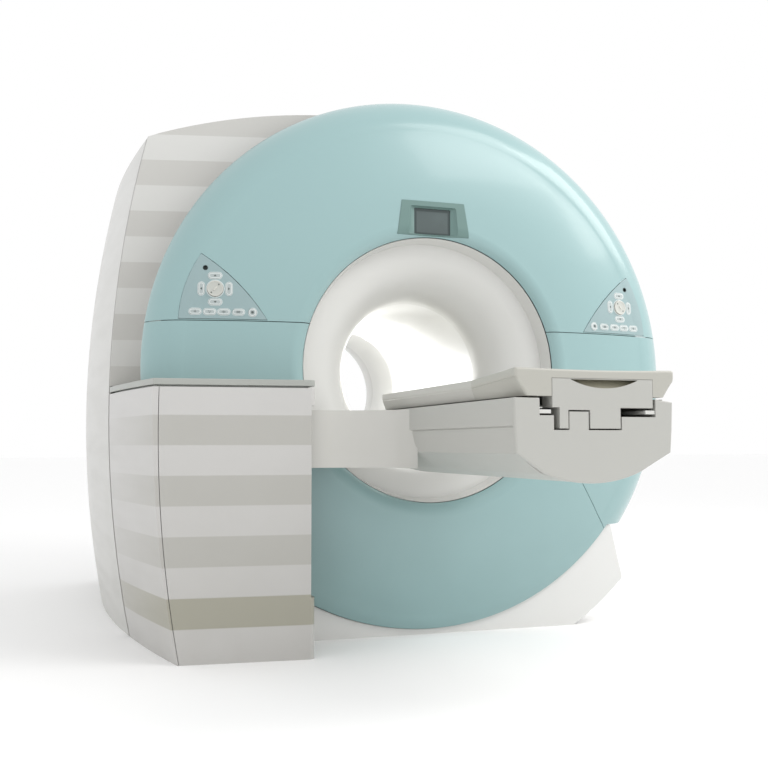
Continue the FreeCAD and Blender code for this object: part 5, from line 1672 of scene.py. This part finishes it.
@dataclass
class PatientTable:
    """The table under the couch: side shell, end cover, stepped deck, rails and frame."""

    half: float = 231.0
    top: float = -171.0
    seam: float = -252.0
    side_foot: Spot = (226.0, -324.0)
    chine: Spot = (155.0, -376.0)
    keel: float = -405.0
    start: float = -1227.0
    head: float = -52.0
    end_start: float = -1244.0
    end_stop: float = -1230.0
    skin: float = 6.0

    def _shell(self, shop: Shop) -> None:
        """The side shell: upright sides with a groove, chines and a bowed bottom, closed at the head."""
        wide = self.half + 4
        left = [(-wide, self.top), (-wide, self.seam + 4.5), (-self.half + 1.2, self.seam + 2.6),
                (-self.half + 1.2, self.seam + 1.0), (-self.half - 0.4, self.seam),
                (-self.side_foot[0], self.side_foot[1]), (-self.chine[0], self.chine[1])]
        keel = Arc(left[-1], (0.0, self.keel), (self.chine[0], self.chine[1])).points(16)
        line = left[:-1] + keel + [(-x, level) for x, level in left[-2::-1]]
        piece = Workpiece().rows([upright(line, depth) for depth in (self.start, -620.0, self.head)])
        piece.face(upright(line, self.head))
        piece.orient(inside=place(0, -600, -250))
        piece.soften(3.0, 3, 60, lambda edge: all(depth_of(v.co) > self.head - 1 for v in edge.verts))
        piece.finish("table_shell", shop, ["table plastic"], "table_plastic", self.skin, 1.2, body="lift_table")

    def _end(self, shop: Shop) -> None:
        """The end cover, cut out for the couch's keels, with a soft edge round its face."""
        outer = [(-238.0, -171.0), (-236.0, -258.0), (-232.0, -322.0), (-190.0, -350.0)]
        keel = Arc((-149.0, -377.0), (0.0, -406.5), (149.0, -377.0)).points(16)
        channel = [(201.0, -171.0), (201.0, -222.0), (92.0, -222.0), (92.0, -259.0), (-12.0, -259.0),
                   (-12.0, -208.0), (-72.0, -208.0), (-72.0, -259.0), (-119.0, -259.0), (-119.0, -219.0),
                   (-162.0, -219.0), (-162.0, -171.0)]
        right = [(198.0, -350.0), (250.0, -322.0), (255.0, -258.0), (258.0, -179.0)]
        outline = outer + keel + right + channel
        piece = Workpiece().prism(outline, self.end_start, self.end_stop)
        piece.orient()

        def on_rim(edge: BMEdge) -> bool:
            """Whether an edge runs round the outside of the outer face."""
            middle = (edge.verts[0].co + edge.verts[1].co) / 2
            inside = -165 < across(middle) < 204 and level_of(middle) > -262
            return all(depth_of(v.co) < self.end_start + 1 for v in edge.verts) and not inside

        piece.soften(5.0, 4, 30, on_rim)
        piece.soften(1.2, 2, 55)
        piece.finish("table_end_cover", shop, ["table plastic"], "table_plastic", body="lift_table")

    def build(self, shop: Shop) -> None:
        """Builds the table's covers, deck, rails, frame and drive."""
        self._shell(shop)
        self._end(shop)
        dress(shop, [("table_deck", "lift_table", "table plastic", "table_plastic", 1.2),
                     ("guide_rails", "lift_table", "rail plastic", "rail_plastic", 1.2),
                     ("table_frame", "lift_table", "painted steel", "painted_steel", 1.5),
                     ("travel_drive", "lift_table", "motor enamel", "motor_paint", 2.0)])


@dataclass
class Couch:
    """The couch: its long top, the widening foot end and the end piece with its grip."""

    half: float = 226.0
    edge: float = -105.0
    trough: float = 22.0
    foot: float = -166.0
    head: float = -52.0
    wing_start: float = -919.0
    end: float = -1244.0
    cap_left: float = -124.0
    cap_right: float = 192.0
    draw_in: float = 30.0
    end_round: float = 9.0
    wing_run: float = 325.0

    @staticmethod
    def _section(half: float, edge: float, trough: float, foot_half: float, foot: float) -> list[Spot]:
        """A cross-section: hollow upper face, flat rims, rounded sides with a groove, and a flat bottom."""
        rim = half - 26
        bed = Arc((rim, edge), (0.0, edge - trough), (-rim, edge)).points(20)
        side = [(foot_half, foot), (lerp(foot_half, half, 0.55), lerp(foot, edge - 24, 0.55)),
                (half - 1.2, edge - 27.0), (half - 2.6, edge - 25.2), (half - 1.0, edge - 23.4),
                (half, edge - 20.0), (half, edge - 4.0), (half - 1.4, edge - 1.2), (half - 5.0, edge)]
        return side + bed + [(-x, level) for x, level in side[::-1]]

    def _top(self, shop: Shop) -> None:
        """The long top."""
        section = self._section(self.half, self.edge, self.trough, self.half - 14, self.foot)
        piece = Workpiece().prism(section, self.wing_start, self.head)
        piece.orient().soften(2.4, 3, 60)
        # The top takes the lighter copy of the laminate: painted light.
        piece.finish("couch_top", shop, ["couch top laminate with painted light"], "table_plastic", body="couch")

    def _wings(self, shop: Shop) -> None:
        """The foot end, which widens and flattens, with the seat of the end piece taken out."""
        stations = ((0.0, 226.0, -105.0, 22.0, 212.0), (160.0, 241.0, -97.0, 17.0, 226.0),
                    (self.wing_run, 265.0, -88.0, 3.0, 230.0))
        rows = []
        round_start = self.wing_run - self.end_round
        runs = spread(1.0, round_start, 14)
        runs += [round_start + self.end_round * math.sin(turn) for turn in spread(0.0, math.pi / 2, 5)[1:]]
        for run in runs:
            shares = []
            for index, (at, *_) in enumerate(stations):
                others = [other[0] for number, other in enumerate(stations) if number != index]
                shares.append((run - others[0]) * (run - others[1]) / ((at - others[0]) * (at - others[1])))
            half, edge, trough, foot_half = (sum(share * station[item] for share, station in zip(shares, stations))
                                             for item in (1, 2, 3, 4))
            if run > round_start:
                inset = self.end_round - math.sqrt(max(0.0, self.end_round ** 2 - (run - round_start) ** 2))
                half, edge, foot_half = half - inset, edge - inset, foot_half - inset
            section = self._section(half, edge, max(trough, 1.5), foot_half, self.foot)
            drawn = self.draw_in * (run / self.wing_run) ** 1.3
            rows.append([place(x + drawn if x < -1 else x, self.wing_start - run, level) for x, level in section])
        piece = Workpiece().rows(rows, closed=True)
        for row in (rows[0], rows[-1]):
            piece.face(row)
        piece.orient()
        left, right, top, deep = self.cap_left - 1, self.cap_right + 1, -116.0, self.end + 61
        near = (lambda m: left - 80 < across(m) < right + 80 and depth_of(m) < deep + 60)
        for point, normal in ((place(left, 0, 0), ACROSS), (place(right, 0, 0), ACROSS),
                              (place(0, deep, 0), INWARD), (place(0, 0, top), UPWARD)):
            piece.slice(point, normal, near)
        piece.drop(lambda m: left < across(m) < right and depth_of(m) < deep and level_of(m) < top)
        self._line_seat(piece, left, right, top, deep)
        piece.orient().soften(2.0, 3, 60)
        piece.finish("couch_foot_wings", shop, ["couch laminate"], "table_plastic", body="couch")

    def _line_seat(self, piece: Workpiece, left: float, right: float, top: float, deep: float) -> None:
        """Closes the end piece's seat with its roof, its back and its two cheeks."""
        bm = piece.bm
        rim = piece.open_edges(lambda spot: True)
        inner = {x: bm.verts.new(place(x, deep, top)) for x in (left, right)}
        verts = {vert for edge in rim for vert in edge.verts}

        def at(x: float, depth: Optional[float], level: float) -> BMVert:
            """The rim's vertex nearest a corner."""
            spot = place(x, self.end if depth is None else depth, level)
            return min(verts, key=lambda v: (v.co - spot).length)

        roof_edge = [edge for edge in rim if all(abs(level_of(v.co) - top) < 0.1 for v in edge.verts)]
        back_edge = [edge for edge in rim if all(abs(depth_of(v.co) - deep) < 0.1 for v in edge.verts)]
        joins = [bm.edges.new((inner[left], inner[right]))]
        lines = {}
        for x in (left, right):
            lines[x] = [bm.edges.new((at(x, None, top), inner[x])), bm.edges.new((at(x, deep, self.foot), inner[x]))]
        bmesh.ops.edgenet_fill(bm, edges=roof_edge + joins + [lines[left][0], lines[right][0]])
        bmesh.ops.edgenet_fill(bm, edges=back_edge + joins + [lines[left][1], lines[right][1]])
        for x in (left, right):
            cheek = [edge for edge in rim if all(abs(across(v.co) - x) < 0.1 for v in edge.verts)]
            bmesh.ops.edgenet_fill(bm, edges=cheek + lines[x])

    def _cap(self, shop: Shop) -> None:
        """The end piece: a grip let into its face, and the teeth that reach into the deck."""
        left, right = self.cap_left, self.cap_right
        outline = [(left, -117.0), (left, -197.0), (-102.0, -197.0), (-102.0, -255.0), (-75.0, -255.0),
                   (-75.0, -204.0), (-8.0, -204.0), (-8.0, -255.0), (88.0, -255.0), (88.0, -197.0),
                   (right, -197.0), (right, -117.0)]
        grip_r, grip_x, grip_level, chord = 250.0, 38.0, 107.0, -119.0
        half = math.acos((grip_level - chord) / grip_r)
        grip = sweep(grip_r, -half - math.pi / 2, half - math.pi / 2, 32, (grip_x, grip_level))
        front = self.end - 1
        piece = Workpiece()
        faces = piece.plate(upright(outline, front), [upright(grip, front)], Vector((0, -1, 0)))

        def from_grip(spot: Vector) -> float:
            """How far a point is from the middle of the grip's arc, in millimetres."""
            return math.hypot(across(spot) - grip_x, level_of(spot) - grip_level)

        rim = piece.open_edges(lambda spot: from_grip(spot) < grip_r + 0.2 and level_of(spot) < -118)
        pocket = bmesh.ops.contextual_create(piece.bm, geom=rim)["faces"]
        piece.run(faces + pocket, Vector((0, 61 * MM, 0)))
        fronts = [face for face in piece.bm.faces if all(abs(depth_of(v.co) - front) < 0.01 for v in face.verts)]
        dish = max(fronts, key=lambda face: len(face.verts))
        moved = piece.run([dish], Vector((0, 31 * MM, 0)))
        bmesh.ops.delete(piece.bm, geom=[dish], context="FACES_ONLY")
        for vert in {vert for face in moved for vert in face.verts}:
            share = (level_of(vert.co) - (grip_level - grip_r)) / (chord - grip_level + grip_r)
            vert.co = place(across(vert.co), front + lerp(5, 31, share), level_of(vert.co))
        # The grip's recess takes the darker moulding: painted shade.
        piece.number(moved, 1)
        piece.orient().soften(1.2, 2, 50, lambda edge: any(from_grip(v.co) > grip_r + 0.5 for v in edge.verts))
        piece.finish("couch_end_piece", shop, ["table plastic", "grip moulding with painted shade"], "table_plastic", body="couch")

    def build(self, shop: Shop) -> None:
        """Builds the three parts of the couch."""
        self._top(shop)
        self._wings(shop)
        self._cap(shop)


@dataclass
class Magnet:
    """What stands inside the housing: the vacuum vessel, the gradient coil, the cradle and the cold head."""

    def build(self, shop: Shop) -> None:
        """Builds the four of them."""
        dress(shop, [("cryostat", "gantry", "vessel steel", "vessel_steel", 12.0),
                     ("gradient_coil", "gantry", "coil resin", "coil_resin", 4.0),
                     ("magnet_cradle", "gantry", "painted steel", "painted_steel", 3.0),
                     ("cold_head", "gantry", "machined aluminium", "machined_aluminium", 3.0)], segments=3)


# ---------------------------------------------------------------- studio


@dataclass
class Studio:
    """The pale floor, the soft lights and the camera."""

    eye: Vector = field(default_factory=lambda: Vector((-1.4068, -4.7421, 0.745)))
    azimuth: float = 18.05
    pitch: float = 3.5
    roll: float = -0.07
    lens: float = 46.875

    def _camera(self) -> None:
        """Sets up the camera at the photograph's viewing angle."""
        turn, tilt = math.radians(self.azimuth), math.radians(self.pitch)
        view = Vector((math.sin(turn) * math.cos(tilt), math.cos(turn) * math.cos(tilt), math.sin(tilt)))
        camera = bpy.data.cameras.new("camera")
        camera.lens = self.lens
        camera.sensor_width = 36.0
        camera.sensor_fit = "HORIZONTAL"
        camera.clip_end = 200.0
        holder = bpy.data.objects.new("camera", camera)
        facing = view.to_track_quat("-Z", "Y").to_matrix().to_4x4()
        holder.matrix_world = (Matrix.Translation(self.eye) @ facing
                               @ Matrix.Rotation(math.radians(self.roll), 4, "Z"))
        bpy.context.scene.collection.objects.link(holder)
        bpy.context.scene.camera = holder

    @staticmethod
    def _panel_light(name: str, at: Spot3, aim: Spot3, size: Spot, power: float, tint: Colour) -> None:
        """Adds a soft panel of light.

        Args:
            name: The light's name.
            at: Where it hangs.
            aim: The point that it faces.
            size: Its width and height, in metres.
            power: Its power, in watts.
            tint: Its colour.
        """
        light = bpy.data.lights.new(name, "AREA")
        light.shape = "RECTANGLE"
        light.size, light.size_y = size
        light.energy = power
        light.color = linear(tint)[:3]
        holder = bpy.data.objects.new(name, light)
        holder.location = at
        holder.visible_camera = False
        holder.rotation_euler = (Vector(aim) - Vector(at)).to_track_quat("-Z", "Y").to_euler()
        bpy.context.scene.collection.objects.link(holder)

    def _floor(self) -> None:
        """Lays the pale floor."""
        floor = Workpiece()
        bmesh.ops.create_grid(floor.bm, x_segments=1, y_segments=1, size=60.0)
        mesh = bpy.data.meshes.new("floor")
        floor.bm.to_mesh(mesh)
        floor.bm.free()
        shader = Shader("pale floor")
        shader.surface.inputs["Base Color"].default_value = linear((252, 252, 252))
        shader.surface.inputs["Roughness"].default_value = 0.9
        mesh.materials.append(shader.material)
        piece = bpy.data.objects.new("floor", mesh)
        bpy.context.scene.collection.objects.link(piece)

    def build(self) -> None:
        """Sets up the whole studio."""
        scene = bpy.context.scene
        scene.view_settings.view_transform = "Standard"
        world = bpy.data.worlds.new("studio")
        world.use_nodes = True
        sky = world.node_tree.nodes["Background"]
        sky.inputs["Color"].default_value = (1.0, 1.0, 1.0, 1.0)
        sky.inputs["Strength"].default_value = 1.0
        scene.world = world
        self._camera()
        self._floor()
        self._panel_light("key", (3.9, -2.5, 4.1), (0.4, -1.0, 1.5), (2.4, 2.4), 85.0, (255, 253, 250))
        self._panel_light("top", (2.1, -3.6, 4.7), (-0.1, -0.9, 1.8), (2.2, 1.8), 46.0, (255, 254, 252))
        self._panel_light("bore light", (0.0, 0.35, 1.16), (0.0, -1.0, 1.03), (0.3, 0.3), 5.0, (255, 255, 255))


def main() -> None:
    """Builds the studio and every sub-assembly, in order."""
    logging.basicConfig(level=logging.INFO, format="%(name)s: %(message)s")
    shop = Shop()
    Studio().build()
    ring = RingFront()
    display = Display(ring)
    panels = [ControlPanel(ring, side) for side in Side]
    windows = [display.outline(0.5)] + [panel.outline(1.4) for panel in panels]
    ring.build(shop, windows)
    display.build(shop)
    for panel in panels:
        panel.build(shop)
    BoreTunnel().build(shop)
    housing = Housing()
    housing.build(shop)
    Plinth().build(shop)
    Pedestal(housing).build(shop)
    LiftGear().build(shop)
    PatientTable().build(shop)
    Couch().build(shop)
    Magnet().build(shop)


if __name__ == "__main__":
    main()
